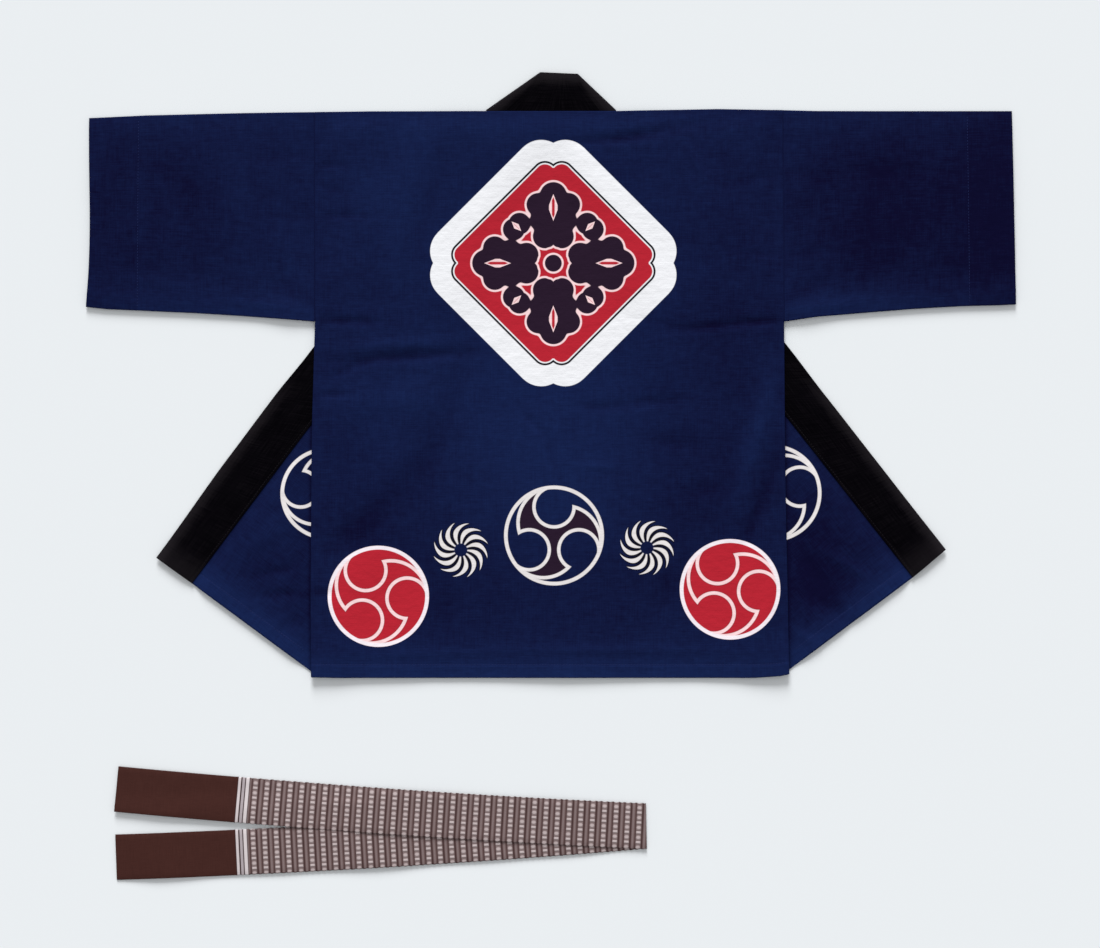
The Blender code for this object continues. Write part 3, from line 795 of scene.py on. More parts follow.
# The back at a share of its half width and a way down: it lies on the fronts and settles between
# their creases; seams, hem and folds are added.
def backSurface(share, down):
    seamOut = np.where(share < 0, sideOut(halves["left"], down), sideOut(halves["right"], down))
    across = share * seamOut
    edge, foot = seamOut - np.abs(across), coat["backLength"] - down
    rise = np.zeros(across.shape)
    near, distant = back["crease"]
    for half in halves.values():
        out = across * half["side"]
        inner = innerEdge(half, down)
        onto = layerHeight(half, np.maximum(out, inner), rowUp(across, down)) + coat["cloth"] + coat["gap"]
        rise = np.maximum(rise, onto * smooth((distant - (inner - out)) / (distant - near)))
    start, reach = back["slant"]
    up = rowUp(across, down) + lookup(backHem, across) * smooth((down - start) / reach)
    depth, step, stitchDepth, lift, reach = back["hem"]
    rise = rise + lift * (1.0 - smooth(foot / reach)) * (0.75 + 0.25 * np.sin(across * 21 + 1.0))
    air, sideReach, topReach, footReach = back["air"]
    air = air * smooth(edge / sideReach) * smooth(down / topReach) * smooth(foot / footReach)
    wave, reach = back["wave"]
    wave = unevenness(across, down, wave) * smooth(edge / reach) * smooth(down / reach)
    rise = rise + np.maximum(0.0, air + folds(across, down, back["folds"]) + wave)
    top = rise + coat["cloth"] + step * turnedIn(foot, depth) - stitchDepth * groove(foot, depth)
    wide, long = back["pressed"]
    depth, step, end = back["armhole"]
    top += step * smooth((depth - edge) / wide) * smooth((end - down) / long)
    depth, step, start = back["side"]
    top += step * smooth((depth - edge) / wide) * smooth((down - start) / long)
    top -= edgeDrop(edge) + edgeDrop(foot) + edgeDrop(down)
    return place(across, up, rise), place(across, up, np.maximum(top, rise + back["thin"])), across, up


# The back's shell, its hem's line of stitches and its tones.
def makeBack():
    span, marks = back["columns"]
    share = places(-span, span, back["coarse"], marks) / span
    down = places(0.0, coat["backLength"], back["coarse"], back["rows"])
    under, top, across, up = backSurface(*np.meshgrid(share, down))
    stitched.append((top[stitchRow(coat["backLength"] - down, back["hem"][0]), 2:-2], "navy"))
    cut = joined(across, up)
    # painted shade and highlight on the folds: lighter on their ridges, darker in their troughs
    tone = patches(across, -up, back["tones"]) + cotton["paintedFoldShade"] * folds(across, -up, back["folds"])
    return shell("Back", top, under, cut, cut, sideBySide(0.840), tone)


backPiece = makeBack()
backPiece.data.materials.append(navyCotton("NavyCottonBack", backPrint))
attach(backPiece, "root")
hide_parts("back")
print("back made:", len(backPiece.data.polygons), "faces")

front = {
    "coarse": 0.0052,
    "rows": (0.001, coat["frontLength"] - 0.0205, 0.790),
    "flat": (0.22, (0.001,)),  # span and fine places of the flat part's columns
    "turned": (0.38, (0.379, 0.372)),  # and of the turned part's
    "slant": 0.60,  # where the hem's slant begins
    "hem": (0.020, 0.0005, 0.0004, 0.0016, 0.06),
    "foldSteps": 8,
    "air": 0.0013,
    "wave": 0.0004,
    "free": (0.004, 0.03, 0.02),  # flat this near back and collar; how soon it is free
    "open": 0.006,  # from the crease's top down to the cut's end
    # across, down, length, turn, width, height, on the part turned out
    "folds": {
        "left": ((-366, 683, 80, 3, 10, -22), (-386, 651, 60, 12, 11, -15), (-400, 600, 100, 40, 30, 14),
                 (-345, 600, 80, 70, 20, -11), (-352, 720, 60, 30, 18, -14)),
        "right": ((372, 650, 90, -52, 26, -17), (420, 640, 80, -30, 14, 14),
                  (395, 700, 110, -36, 24, -13), (352, 600, 70, -80, 14, -11),
                  (362, 742, 60, -34, 12, 11)),
    },
    "tones": {
        "left": ((-370, 560, 70, 70, 4), (-380, 660, 70, 60, -6)),
        "right": ((375, 560, 60, 60, -4), (385, 650, 80, 90, -30)),
    },
    # painted glow along the front's hem
    "paintedHemGlow": (0.42, 0.032),  # lighter toward its hem; reach
    # painted shadow: the back's side edge darkens the front beside the side seam
    "paintedSeamShadow": (0.30, 0.0035),  # darker beside the back; reach
    # the pattern's width, length and area
    "flats": {"left": (0.329, 0.798, 0.181), "right": (0.339, 0.803, 0.187)},
    "crests": {"left": (-0.3152, -0.5407, 0.0656, -41.0), "right": (0.3181, -0.5399, 0.0695, 43.4)},
}


# A front: its flat part from side seam to inner edge, a half turn round the crease, and the part
# turned out beyond it. Rows are the cut's own level lines.
def makeFront(name, half):
    side, lines, cloth, gap = half["side"], half["lines"], coat["cloth"], coat["gap"]
    depth, step, stitchDepth, lift, liftReach = front["hem"]
    down = places(0.0, coat["frontLength"], front["coarse"], front["rows"])[:, None]
    flatShare, turnedShare = (places(0.0, span, front["coarse"], marks)[None, :] / span
                              for span, marks in (front["flat"], front["turned"]))
    slant = smooth((down - front["slant"]) / (coat["frontLength"] - front["slant"]))
    level = down + half["hem"][0] * slant
    inner, seam = innerEdge(half, level), sideOut(half, level)
    out = seam + (inner - seam) * flatShare
    up = rowUp(side * out, level)
    z = layerHeight(half, out, up)
    unfolded = [joined(out, up)]
    outer, innerSide = [place(out, up, z, half)], [place(out, up, z + cloth, half)]

    middle, radius = cloth + gap / 2, (cloth + gap) / 2
    crease, creaseUp = out[:, -1:], up[:, -1:]
    angle = np.linspace(0.0, pi, front["foldSteps"] + 1)[None, 1:-1]
    for grids, reach in ((outer, radius - cloth / 2), (innerSide, radius + cloth / 2)):
        bend = reach * np.sin(angle)
        grids.append(place(crease + bend * lines["creaseWay"][1], creaseUp - bend * lines["creaseWay"][0],
                           middle + reach * np.cos(angle), half))
    flats, bends = flatShare.shape[1], angle.shape[1]
    unfolded.append(joined(np.repeat(crease, bends, axis=1), creaseUp))

    seamEdge = lines["creaseTop"][0] + gap
    cutOut = inner + (seamEdge - inner) * turnedShare
    cutUp = -level - (half["hem"][1] - half["hem"][0]) * slant * turnedShare
    outTurned, upTurned = turnOver(half, cutOut, cutUp)
    near, backReach, collarReach = front["free"]
    bare = smooth((outTurned - sideOut(half, -upTurned) - near) / backReach)
    free = bare * smooth((cutOut - seamEdge - near) / collarReach)
    foot = np.broadcast_to(coat["frontLength"] - down, cutOut.shape)
    rise = free * np.maximum(0.0, front["air"] + unevenness(outTurned, upTurned, front["wave"])
                             + folds(side * outTurned, -upTurned, front["folds"][name]))
    rise = rise + bare * lift * (1.0 - smooth(foot / liftReach))
    top = rise + cloth + free * step * turnedIn(foot, depth)
    top = top - bare * stitchDepth * groove(foot, depth) - edgeDrop(foot) * bare
    outer.append(place(outTurned, upTurned, top, half))
    innerSide.append(place(outTurned, upTurned, rise, half))
    unfolded.append(joined(cutOut, cutUp))
    row = stitchRow(foot[:, 0], depth)
    stitched.append((outer[-1][row][(bare[row] > 0.03) & (cutOut[row] - seamEdge > 0.001)], "navy"))

    outer, innerSide, unfolded = (np.concatenate(grids, axis=1) for grids in (outer, innerSide, unfolded))
    # Round the crease the cut's width runs on by the cloth that the bend takes.
    extra = np.concatenate([np.zeros(flats), np.linspace(0.0, pi * radius, bends + 2)[1:-1],
                            np.full(turnedShare.shape[1], pi * radius)])
    cut = joined(side * unfolded[..., 0] - side * extra, unfolded[..., 1])
    printOut, printUp = turnOver(half, unfolded[..., 0], unfolded[..., 1])
    printed = joined(side * printOut, printUp)
    cells = np.ones((len(down) - 1, outer.shape[1] - 1), bool)
    cells[down[:-1, 0] < front["open"] - lines["creaseTop"][1], flats - 1:] = False
    tone = patches(side * printOut, -printUp, front["tones"][name])
    # painted shade and highlight on the folds: lighter on their ridges, darker in their troughs
    tone += cotton["paintedFoldShade"] * folds(side * printOut, -printUp, front["folds"][name])
    # painted glow: lighter toward the hem
    amount, reach = front["paintedHemGlow"]
    tone += amount * bell(coat["frontLength"] - down, reach)
    # a painted shadow of the back's side edge on the turned-out part, beside the side seam
    amount, reach = front["paintedSeamShadow"]
    tone[:, flats:] -= amount * bell(printOut[:, flats:] - sideOut(half, -printUp[:, flats:]), reach)
    return shell("Front" + name.capitalize(), outer, innerSide, cut, printed, sideBySide(0.646), tone, cells)


for name, half in halves.items():
    piece = makeFront(name, half)
    crest = frontPrint(*front["crests"][name])
    piece.data.materials.append(navyCotton("NavyCottonFront" + name.capitalize(), crest))
    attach(piece, "root")
    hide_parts("front_" + name)
    print("front made:", name, len(piece.data.polygons), "faces")

sleeve = {
    "coarse": 0.0048,
    "depth": 0.290,  # span for the places round a loop
    "bendSteps": 8,
    "crown": 0.0022,  # of the upper layer above the lower one
    "wave": 0.0005,
    "cuffDepth": {"left": 0.072, "right": 0.065},
    "cuff": (0.0005, 0.0004),  # step, and groove of its stitches
    "cuffBow": {"left": 0.0038, "right": 0.0},  # how far its edge bows in
    "bowReach": 0.06,
    "foot": (0.0018, 0.82, 0.05),  # lift, share down where it begins, how soon from the armhole
    # Armhole to cuff in tenths of a millimetre: out at the folded top and at the sewn foot, then
    # how far up each lies.
    "sections": {
        "left": np.array(((3323, 3318, 7, -2968), (3838, 3838, 1, -2926), (4349, 4349, -7, -2887),
                          (5030, 5035, -23, -2846), (5711, 5725, -40, -2815), (6250, 6280, -66, -2790),
                          (6519, 6562, -78, -2759))) / 10000,
        "right": np.array(((3323, 3344, 35, -2968), (3793, 3805, 23, -2899), (4474, 4490, 21, -2842),
                           (5155, 5175, 21, -2787), (5835, 5870, 21, -2748), (6350, 6395, 21, -2735),
                           (6573, 6629, 21, -2723))) / 10000,
    },
    # out, down, length, turn, width, height
    "folds": {
        "left": ((360, 147, 60, 0, 8, -11), (350, 262, 70, 30, 14, -17), (395, 276, 110, 8, 14, 14),
                 (525, 95, 70, 40, 30, -13), (458, 166, 45, 92, 4, 13), (440, 110, 160, 82, 30, 10),
                 (500, 190, 180, 80, 24, -8), (380, 62, 80, -6, 12, -10), (560, 240, 120, 6, 18, 8),
                 (562, 130, 170, 88, 12, -8)),
        "right": ((352, 258, 80, 24, 14, -17), (400, 276, 120, 6, 16, 17), (470, 85, 210, 0, 22, -8),
                  (452, 170, 140, 80, 24, -8), (540, 130, 150, 88, 24, 8), (372, 90, 70, -18, 12, -10),
                  (365, 200, 60, 8, 9, -8), (620, 160, 100, 84, 20, 8)),
    },
    # rows of out, down, reach out, reach down, how much lighter; those along the top and along the foot are
    # painted glow on those edges
    "tones": {
        "left": ((-500, 140, 150, 130, -12), (-360, 160, 100, 200, 6), (-640, 120, 80, 300, -4),
                 (-480, 285, 200, 26, 20), (-480, 5, 220, 22, 8)),
        "right": ((500, 140, 150, 130, -32), (640, 150, 60, 300, -20), (480, 275, 200, 22, 20),
                  (420, 5, 160, 20, 8)),
    },
    "cuffTone": -0.05,
    # the tube's length, its way round at the armhole, and its area
    "flats": {"left": (0.324, 0.595, 0.181), "right": (0.329, 0.601, 0.185)},
}


# A sleeve: loops round a flat tube, each down the lower layer, round the sewn foot, up the upper
# layer and round the folded top.
def makeSleeve(name, half):
    table, depth = sleeve["sections"][name], sleeve["cuffDepth"][name]
    side, cloth, gap = half["side"], coat["cloth"], coat["gap"]
    length = table[-1, 0] - table[0, 0]
    station = places(0.0, length, sleeve["coarse"], (0.001, length - depth, length - 0.001))[:, None]
    key = np.interp(station + table[0, 0], table[:, 0], np.arange(len(table)))
    outTop, outFoot, upTop, upFoot = (np.interp(key, np.arange(len(table)), column) for column in table.T)
    outTop[0] = sideOut(half, 0.0) + gap

    # Round a loop: the share of the way down, what the bends add aside and up, the upper layer.
    span = sleeve["depth"]
    run = places(0.0, span, sleeve["coarse"], (0.001, span - 0.001)) / span
    angle = np.linspace(0.0, pi, sleeve["bendSteps"] + 1)[1:-1]
    zeros, ones, none, whole = np.zeros(len(run)), np.ones(len(run)), 0 * angle, 0 * angle + 1
    share, bend, rise, upperLayer = (np.concatenate(parts)[None, :] for parts in (
        (run, whole, run[::-1], none, [0.0]),
        (zeros, -np.sin(angle), zeros, np.sin(angle), [0.0]),
        (-ones, -np.cos(angle), ones, np.cos(angle), [-1.0]),
        (zeros, none, ones, none, [0.0])))

    radius = cloth + gap / 2
    bow = sleeve["cuffBow"][name] * smooth((station - length + sleeve["bowReach"]) / sleeve["bowReach"])
    out = outTop + share * (outFoot - outTop) - bow * np.sin(pi * share ** 1.5)
    middleUp = (upTop - radius) * (1 - share) + (upFoot + radius) * share
    crown = sleeve["crown"] * smooth(key / 3.0) * np.maximum(0, np.sin(pi * share)) ** 0.7
    wave = folds(out, -middleUp, sleeve["folds"][name]) + unevenness(out, middleUp, sleeve["wave"])
    wave = np.maximum(0.0, wave) * smooth(station / 0.01) * smooth(share * (1 - share) * 12)
    cuff = station[-1] - station
    step, stitchDepth = sleeve["cuff"]
    step = step * turnedIn(cuff, depth) - stitchDepth * groove(cuff, depth)
    lift, start, reach = sleeve["foot"]
    lift = lift * smooth((share - start) / (1 - start)) * smooth(station / reach)
    loops = []
    for inset in (0.0, cloth):
        small = radius - inset
        up = middleUp + small * bend
        z = radius + small * rise + upperLayer * (crown + wave) + layerHeight(half, out, up) + lift
        if inset == 0.0:
            ends = edgeDrop(cuff) + edgeDrop(station)
            z = z + upperLayer * (step * smooth(share * (1 - share) * 30) - ends)
        outPlaced = out.copy()
        outPlaced[0] = sideOut(half, -up[0]) + gap
        loops.append(place(outPlaced, up, z, half))
    upperRun = slice(len(run) + sleeve["bendSteps"] + 1, 2 * len(run) + sleeve["bendSteps"] - 3)
    stitched.append((loops[0][stitchRow(cuff[:, 0], depth)][upperRun], "navy"))
    around = running(np.abs(np.diff(share[0])) * 0.285 + np.abs(np.diff(rise[0])) * 0.002)
    cut = joined(side * out, around[None, :])
    tone = patches(side * out, -middleUp, sleeve["tones"][name])
    # painted shade and highlight on the folds: lighter on their ridges, darker in their troughs
    tone += cotton["paintedFoldShade"] * folds(out, -middleUp, sleeve["folds"][name])
    tone += sleeve["cuffTone"] * smooth((depth - cuff) / 0.003)
    return shell("Sleeve" + name.capitalize(), *loops, cut, cut, sideBySide(0.506), tone, wrap=True)


for name, half in halves.items():
    piece = makeSleeve(name, half)
    piece.data.materials.append(navyCotton("NavyCottonSleeve" + name.capitalize()))
    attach(piece, "root")
    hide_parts("sleeve_" + name)
    print("sleeve made:", name, len(piece.data.polygons), "faces")

# The collar: one doubled band up a front to the neck, over its slanted edge, across it, under and
# down the other front. Each stretch blends straight from first to last points.
def makeCollar():
    band, gap, width = coat["band"], coat["gap"], coat["collarWidth"] - coat["gap"]
    marks = (0.0006, width - 0.0006)
    across = places(0.0, width, width / collar["cells"], marks, 0.0005, 0.0014)[None, :] / width
    rounding = edgeDrop(np.minimum(across, 1 - across) * width, 0.0008)
    full = collar["crown"] * np.sin(pi * across) ** 0.6
    radius = band + gap / 2
    tone, edgeTone, footHighlight, rollHighlight, neckHighlight = collar["tones"]
    upper, lower, tones = [], [], []

    # A corner of the neck's plate, moved in from its slanted edge, and that edge's normal.
    def corner(half, name):
        top, foot = np.array(half["plateTop"]), np.array(half["plateFoot"])
        slant = (foot - top) / np.linalg.norm(foot - top)
        normal = np.array([-slant[1], slant[0]])
        return np.array(half[name]) - collar["rollInset"] * normal, normal

    # Rows across, in a straight line from first to last points.
    def rows(first, last):
        return first[:, None, :] + across[..., None] * (last - first)[:, None, :]

    # A stretch's points at an outward and an inward height, and its tone.
    def add(points, outward, inward, half, light):
        upper.append(place(points[..., 0], points[..., 1], outward, half))
        lower.append(place(points[..., 0], points[..., 1], inward, half))
        tones.append(np.broadcast_to(light, points.shape[:2]))

    # Up a front: the seam side laps over the front's edge as far as the crease's top.
    def strip(half, order):
        lines = half["lines"]
        start, edgeStart, seamWay = lines["seamStart"], lines["edgeFoot"], lines["seamWay"]
        (top, _), (foot, _) = corner(half, "plateTop"), corner(half, "plateFoot")
        share = np.linspace(0.0, 1.0, collar["stations"])[::order, None]
        neck = np.array([half["neck"] + 0.0006, lines["seamTop"][1]])
        straight, slanted = np.linalg.norm(neck - start), np.linalg.norm(top - neck)
        walked = share * (straight + slanted)
        first = np.where(walked < straight, start + (neck - start) * walked / straight,
                         neck + (top - neck) * (walked - straight) / slanted)
        edgeEnd = edgeStart - seamWay * ((edgeStart - foot) @ seamWay)
        edge = edgeStart + (edgeEnd - edgeStart) * share + (foot - edgeEnd) * smooth((share - 0.9) / 0.1)
        atFoot, above, reached = collar["edges"][half["side"]]
        beyond = atFoot + (above - atFoot) * smooth(share / reached)
        edge = edge + beyond * (1 - smooth((share - collar["edgesEnd"]) / 0.1)) * lines["outward"]
        bare = smooth((edge[:, :1] - collar["bare"]) / 0.05)
        lap = smooth((-first[:, 1:] + lines["creaseTop"][1] - 0.01) / 0.02)
        points = rows(first, edge)
        points -= (collar["lap"] * lap * (1 - smooth(across / 0.05)))[..., None] * lines["outward"]
        lift, reach = front["hem"][3:]
        lift = lift * (1.0 - smooth(walked / reach))
        wave = 0.0008 + 0.0006 * np.sin(walked * 21 + 1.0) + 0.0004 * np.sin(walked * 47)
        wave = lift + bare * smooth(across / 0.35) * wave
        step, reach = collar["lapStep"]
        overFront = lap * smooth((reach - across) / 0.02)
        top = band + wave + full + overFront * step - rounding * (1 - 0.5 * overFront)
        top -= bare * 0.0003 * bell(across * width - collar["lap"], 0.0008)
        # painted highlight along the band's free outer edge, and at its foot
        light = edgeTone * smooth((across - 0.68) / 0.32) * bare
        add(points, wave + overFront * (coat["cloth"] + 0.00015), top, half,
            tone + light + footHighlight * smooth((0.05 - walked) / 0.05))
        sewn = np.nonzero((lap[:, 0] > 0.9) & (bare[:, 0] > 0.05))[0]
        column = np.argmin(np.abs(across[0] * width - collar["seamLine"]))
        stitched.append((lower[-1][sewn][:, column], "black"))

    # The roll's top end goes along the neck's top edge, so that the corner comes out sharp.
    def roll(half, order):
        (top, normal), (foot, _) = corner(half, "plateTop"), corner(half, "plateFoot")
        angle = np.linspace(0.0, pi, 9)[1:-1][::order, None]
        bent = radius * np.sin(angle)
        along = np.array([1.0, 0.0]) / normal[0]
        # the roll's tone is painted highlight where the band rolls over the neck's slanted edge
        add(rows(top + bent * along, foot + bent * normal), radius - radius * np.cos(angle),
            radius - (radius - band) * np.cos(angle), half, rollHighlight)

    # Across the neck between the plate's corners; lighter at its foot and ends, a painted highlight.
    def neck():
        share = np.linspace(0.0, 1.0, collar["neckStations"])[:, None]
        ends = []
        for name in ("plateTop", "plateFoot"):
            first = corner(halves["left"], name)[0] * (-1.0, 1.0)
            ends.append(first + (corner(halves["right"], name)[0] - first) * share)
        height = 2 * band + gap + collar["crown"] * np.sin(pi * share) * np.sin(pi * across)
        light = np.maximum(smooth((0.42 - across) / 0.42),
                           0.9 * smooth((0.16 - np.minimum(share, 1 - share)) / 0.16))
        add(rows(*ends), height + full - rounding, height - band, None, tone + neckHighlight * light)

    strip(halves["left"], 1)
    roll(halves["left"], 1)
    neck()
    roll(halves["right"], -1)
    strip(halves["right"], -1)
    upper, lower, tones = (np.concatenate(stretches) for stretches in (upper, lower, tones))
    along = lengthAlong(upper[:, upper.shape[1] // 2])
    cut = joined(along[:, None], across * width)
    return shell("Collar", upper, lower, cut, cut, bake["stacked"], tones)


collarPiece = makeCollar()
collarPiece.data.materials.append(blackCotton("BlackCottonBand"))
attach(collarPiece, "root")
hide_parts("collar_left", "collar_right", "collar_neck")
print("collar made:", len(collarPiece.data.polygons), "faces")

belt = {
    "width": 0.0645,
    "cloth": 0.0016,
    "arm": 0.7520,  # from fold to end
    "fold": (0.1336, -0.4976),
    "tilt": radians(-0.33),
    "opening": radians(3.70),  # of each arm from the middle direction
    "sag": 0.0045,  # of each arm's middle below a straight line
    "settle": (0.026, 0.060),  # past the lower arm: height kept, and down here
    "cells": (400, 22),  # along an arm and across
    "marks": (-0.0317, 0.0317),
    "foldSteps": 10,
    "foldCut": 0.0003,  # cut length of a step round the fold
    "lift": (0.0016, 0.25),  # height, in waves that fade over this share of an arm
    "edge": (0.0007, 0.0005, 0.006),  # rounding; thinning, and its width
    "tooth": (0.00045, 0.00825, 0.0300),  # teeth: depth, pitch, how far out
    "plainEnd": 0.170,
    "figured": 0.0175,  # from plain end to figured weave
    "barPitch": 0.0057,
    "barHalves": (0.0019, 0.0019, 0.0024),
    # columns of the weave: pitch, start from the plain end, middle and half width of their dashes
    "column": (0.0165, 0.0205, 0.0050, 0.0032),
    # dashes in a column: pitch, start, middle, half length, half thickness
    "dash": (0.0140, 0.0011, 0.0102, 0.0030, 0.0015),
    "dashRim": (0.0024, 0.0004, 0.0040),  # dark lines above and below: where, half width, reach
    "blockShape": (0.0028, 0.0007, 0.0022),  # middle, half its straight part, radius
    "besides": (0.0050, 0.0010),  # dark lines beside a column: where, half width
    "stripe": (0.0134, 0.0014),
    "selvedge": 0.0014,
    "threads": (0.0014, 0.0013),  # spacing of cords and of threads
    # heights of the figures, bars, threads and slubs
    "relief": (0.00030, 0.0002, 0.00006, 0.00010),
    "brown": paint(60, 33, 29),
    "lightBrown": paint(76, 45, 40),
    "darkBrown": paint(48, 27, 27),
    "ground": paint(99, 79, 78),
    "pale": paint(134, 118, 118),
    "between": paint(140, 124, 124),
    "ivory": paint(192, 179, 179),
    "block": paint(184, 170, 170),
    "bars": (paint(202, 192, 194), paint(170, 160, 164), paint(208, 199, 201)),
}


# The belt's weave: plain ends, three pale bars, then columns of dashes, blocks and a stripe, each
# a distance in one repeat, found from the fraction of a pitch.
def beltWeave():
    material, tree, shader = newFinish("BeltWeave", 0.8, 0.06)
    x, y = ownCoordinates(tree, "cut")
    fromEnd = lowest(x, 2 * belt["arm"] - x)
    slubs = noise(tree, x, y, 900.0, 40.0) + noise(tree, x, y, 60.0, 1300.0) - 1.0
    brown = over(tree, slubs * 0.6 + 0.25, belt["brown"], belt["lightBrown"])
    cordPitch, threadPitch = belt["threads"]
    thread = ripple(y, threadPitch) * 0.5 + 0.5

    fromPlain = fromEnd - belt["plainEnd"]
    figured = fromPlain - belt["figured"]
    pitch, start, middle, columnHalf = belt["column"]
    column = ((fromPlain - start) / pitch).join("FRACT") * pitch
    inColumn = abs(column - middle)
    pitch, start, middle, halfLength, halfThick = belt["dash"]
    rung = ((y + start) / pitch).join("FRACT") * pitch
    inDash = abs(rung - middle)
    dash = highest(inColumn - halfLength, inDash - halfThick)
    middle, straight, radius = belt["blockShape"]
    block = far(inColumn.join("MAXIMUM", straight) - straight, rung - middle) - radius
    besides = abs(inColumn - belt["besides"][0]) - belt["besides"][1]
    stripe = abs(column - belt["stripe"][0]) - belt["stripe"][1]
    rimAt, rimHalf, rimReach = belt["dashRim"]
    rim = inside(abs(inDash - rimAt) - rimHalf, 0.0012) * inside(inColumn - rimReach, 0.0016)
    fromOuter = y + (belt["width"] - y * 2.0) * inside(belt["arm"] - x)
    weave = belt["ground"]
    for mask, colourName in (
            (inside(inColumn - columnHalf, 0.0020) * 0.75, "between"),
            (inside(besides, 0.0016) * 0.75, "darkBrown"),
            (inside(stripe, 0.0014) * (thread * 0.5 + 0.5), "pale"),
            (rim * 0.5, "darkBrown"),
            (inside(block, 0.0018), "block"),
            (inside(dash, 0.0014), "ivory"),
            (inside(fromOuter - belt["selvedge"], 0.0010) * 0.40, "darkBrown")):
        weave = over(tree, mask, weave, belt[colourName])

    barred, bars = belt["darkBrown"], None
    for order, (barColour, half) in enumerate(zip(belt["bars"], belt["barHalves"])):
        middle = belt["plainEnd"] + (order + 0.5) * belt["barPitch"]
        bar = inside(abs(fromEnd - middle) - half)
        barred = over(tree, bar, barred, barColour)
        bars = highest(bars, bar) if bars else bar
    colour = over(tree, inside(-fromPlain), brown, barred)
    colour = over(tree, inside(-figured), colour, weave)
    tree.links.new(colour, shader.inputs["Base Color"])
    figureHeight, barHeight, threadHeight, slubHeight = belt["relief"]
    relief = inside(lowest(dash, block), 0.0012) * inside(-figured) * figureHeight
    relief += bars * inside(figured) * barHeight + (ripple(x, cordPitch) + thread) * threadHeight
    bumped(tree, shader, relief + slubs * slubHeight)
    return material


# The belt: a strip along one arm, round a half circle at the fold and back on top, stepping down
# where it leaves the lower arm.
def makeBelt():
    cloth, gap, arm, halfWidth = belt["cloth"], coat["gap"], belt["arm"], belt["width"] / 2
    fold = np.array(belt["fold"])
    angle = belt["tilt"] + belt["opening"]
    way = np.array([cos(angle), sin(angle)])
    mirror = np.array([cos(belt["tilt"]), sin(belt["tilt"])])
    back = way - 2.0 * (way @ mirror) * mirror
    aside, backAside = (np.array([-line[1], line[0]]) for line in (way, back))
    start = fold - arm * way
    stations, cells = belt["cells"]
    spread = places(-halfWidth, halfWidth, belt["width"] / cells, belt["marks"], 0.0006, 0.0012)[:, None]
    base = start + spread * aside
    length = ((fold - base) @ mirror / (way @ mirror))[:, None]
    backLength = 2 * arm - length
    share = np.linspace(0.0, 1.0, stations)[None, :]
    walked = share * arm - belt["plainEnd"]

    # Its edges run in small teeth beyond the plain ends, and are soft and thin.
    toothDepth, pitch, toothFrom = belt["tooth"]
    tooth = toothDepth * np.cos(2 * pi * (walked - belt["column"][1] - belt["column"][2]) / pitch)
    tooth = tooth * smooth((np.abs(spread) - toothFrom) / 0.002) * smooth((walked + 0.002) / 0.004)
    tooth = tooth * np.sign(spread)
    fromEdge = halfWidth - np.abs(spread)
    soft, thin, reach = belt["edge"]
    rounding = edgeDrop(fromEdge, soft) + thin * smooth((reach - fromEdge) / reach)

    # An arm's points: it sags as a parabola from its end (part 0) to the fold (part 1), and the
    # lines across lean with it.
    def sagged(points, part, way):
        sag = -4 * belt["sag"] * part * (1 - part)
        lean = 4 * belt["sag"] * (1 - 2 * part) * spread / arm
        return points[0] - way[1] * sag + way[0] * lean, points[1] + way[0] * sag + way[1] * lean

    edgePoint = base + way * length
    lower = [base[:, i:i + 1] + way[i] * length * share + tooth * aside[i] for i in (0, 1)]
    upper = [edgePoint[:, i:i + 1] + back[i] * backLength * share for i in (0, 1)]
    corners = [start, fold + way * 0.01]
    off = farOutside(*upper, [corner - halfWidth * aside for corner in corners]
                     + [corner + halfWidth * aside for corner in corners[::-1]])
    upper = [upper[i] - tooth[:, ::-1] * backAside[i] for i in (0, 1)]
    lower, upper = sagged(lower, share, way), sagged(upper, 1 - share, -back)
    edge = sagged((edgePoint[:, :1], edgePoint[:, 1:]), 1.0, mirror)

    lift, calmShare = belt["lift"]
    wave = lift + 0.0006 * np.sin(share * 15 + 0.6) + 0.0004 * np.sin(share * 31 + spread * 40)
    calm = smooth((1 - share) / calmShare)
    lowerZ = np.maximum(0.0, wave * calm * smooth(share * 8 + 0.3))
    waveBack = (lift + 0.0006 * np.sin(share * 13 + 2.0)) * smooth(share / calmShare)
    near, settled = belt["settle"]
    fall = smooth((settled - off) / (settled - near))
    follow = np.maximum(wave[:, ::-1], 0.0) * calm[:, ::-1] * fall
    upperZ = (cloth + gap) * fall + np.maximum(waveBack, follow)

    # One face of the strip: the lower arm, the fold and the upper arm.
    radius, middle = (cloth + gap) / 2, cloth + gap / 2
    bend = np.linspace(0.0, pi, belt["foldSteps"] + 1)[None, 1:-1]
    faces = []
    for outside in (True, False):
        reach = radius + cloth / 2 if outside else radius - cloth / 2
        bent = reach * np.sin(bend)
        turn = joined(edge[0] + bent * mirror[0], edge[1] + bent * mirror[1], middle - reach * np.cos(bend))
        low = joined(*lower, lowerZ if outside else lowerZ + cloth - rounding)
        high = joined(*upper, upperZ + cloth - rounding if outside else upperZ)
        faces.append(np.concatenate([low, turn, high], axis=1))
    turnCut = belt["foldCut"] * np.arange(1, belt["foldSteps"])[None, :]
    pastFold = belt["foldCut"] * belt["foldSteps"]
    along = np.concatenate([length * share, length + turnCut,
                            length + pastFold + (backLength - pastFold) * share], axis=1)
    cut = joined(along, spread + halfWidth)
    return shell("Belt", *faces, cut, cut, bake["stacked"], np.full(along.shape, 0.5))


beltPiece = makeBelt()
beltPiece.data.materials.append(beltWeave())
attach(beltPiece, "root")
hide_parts("belt")
print("belt made:", len(beltPiece.data.polygons), "faces")

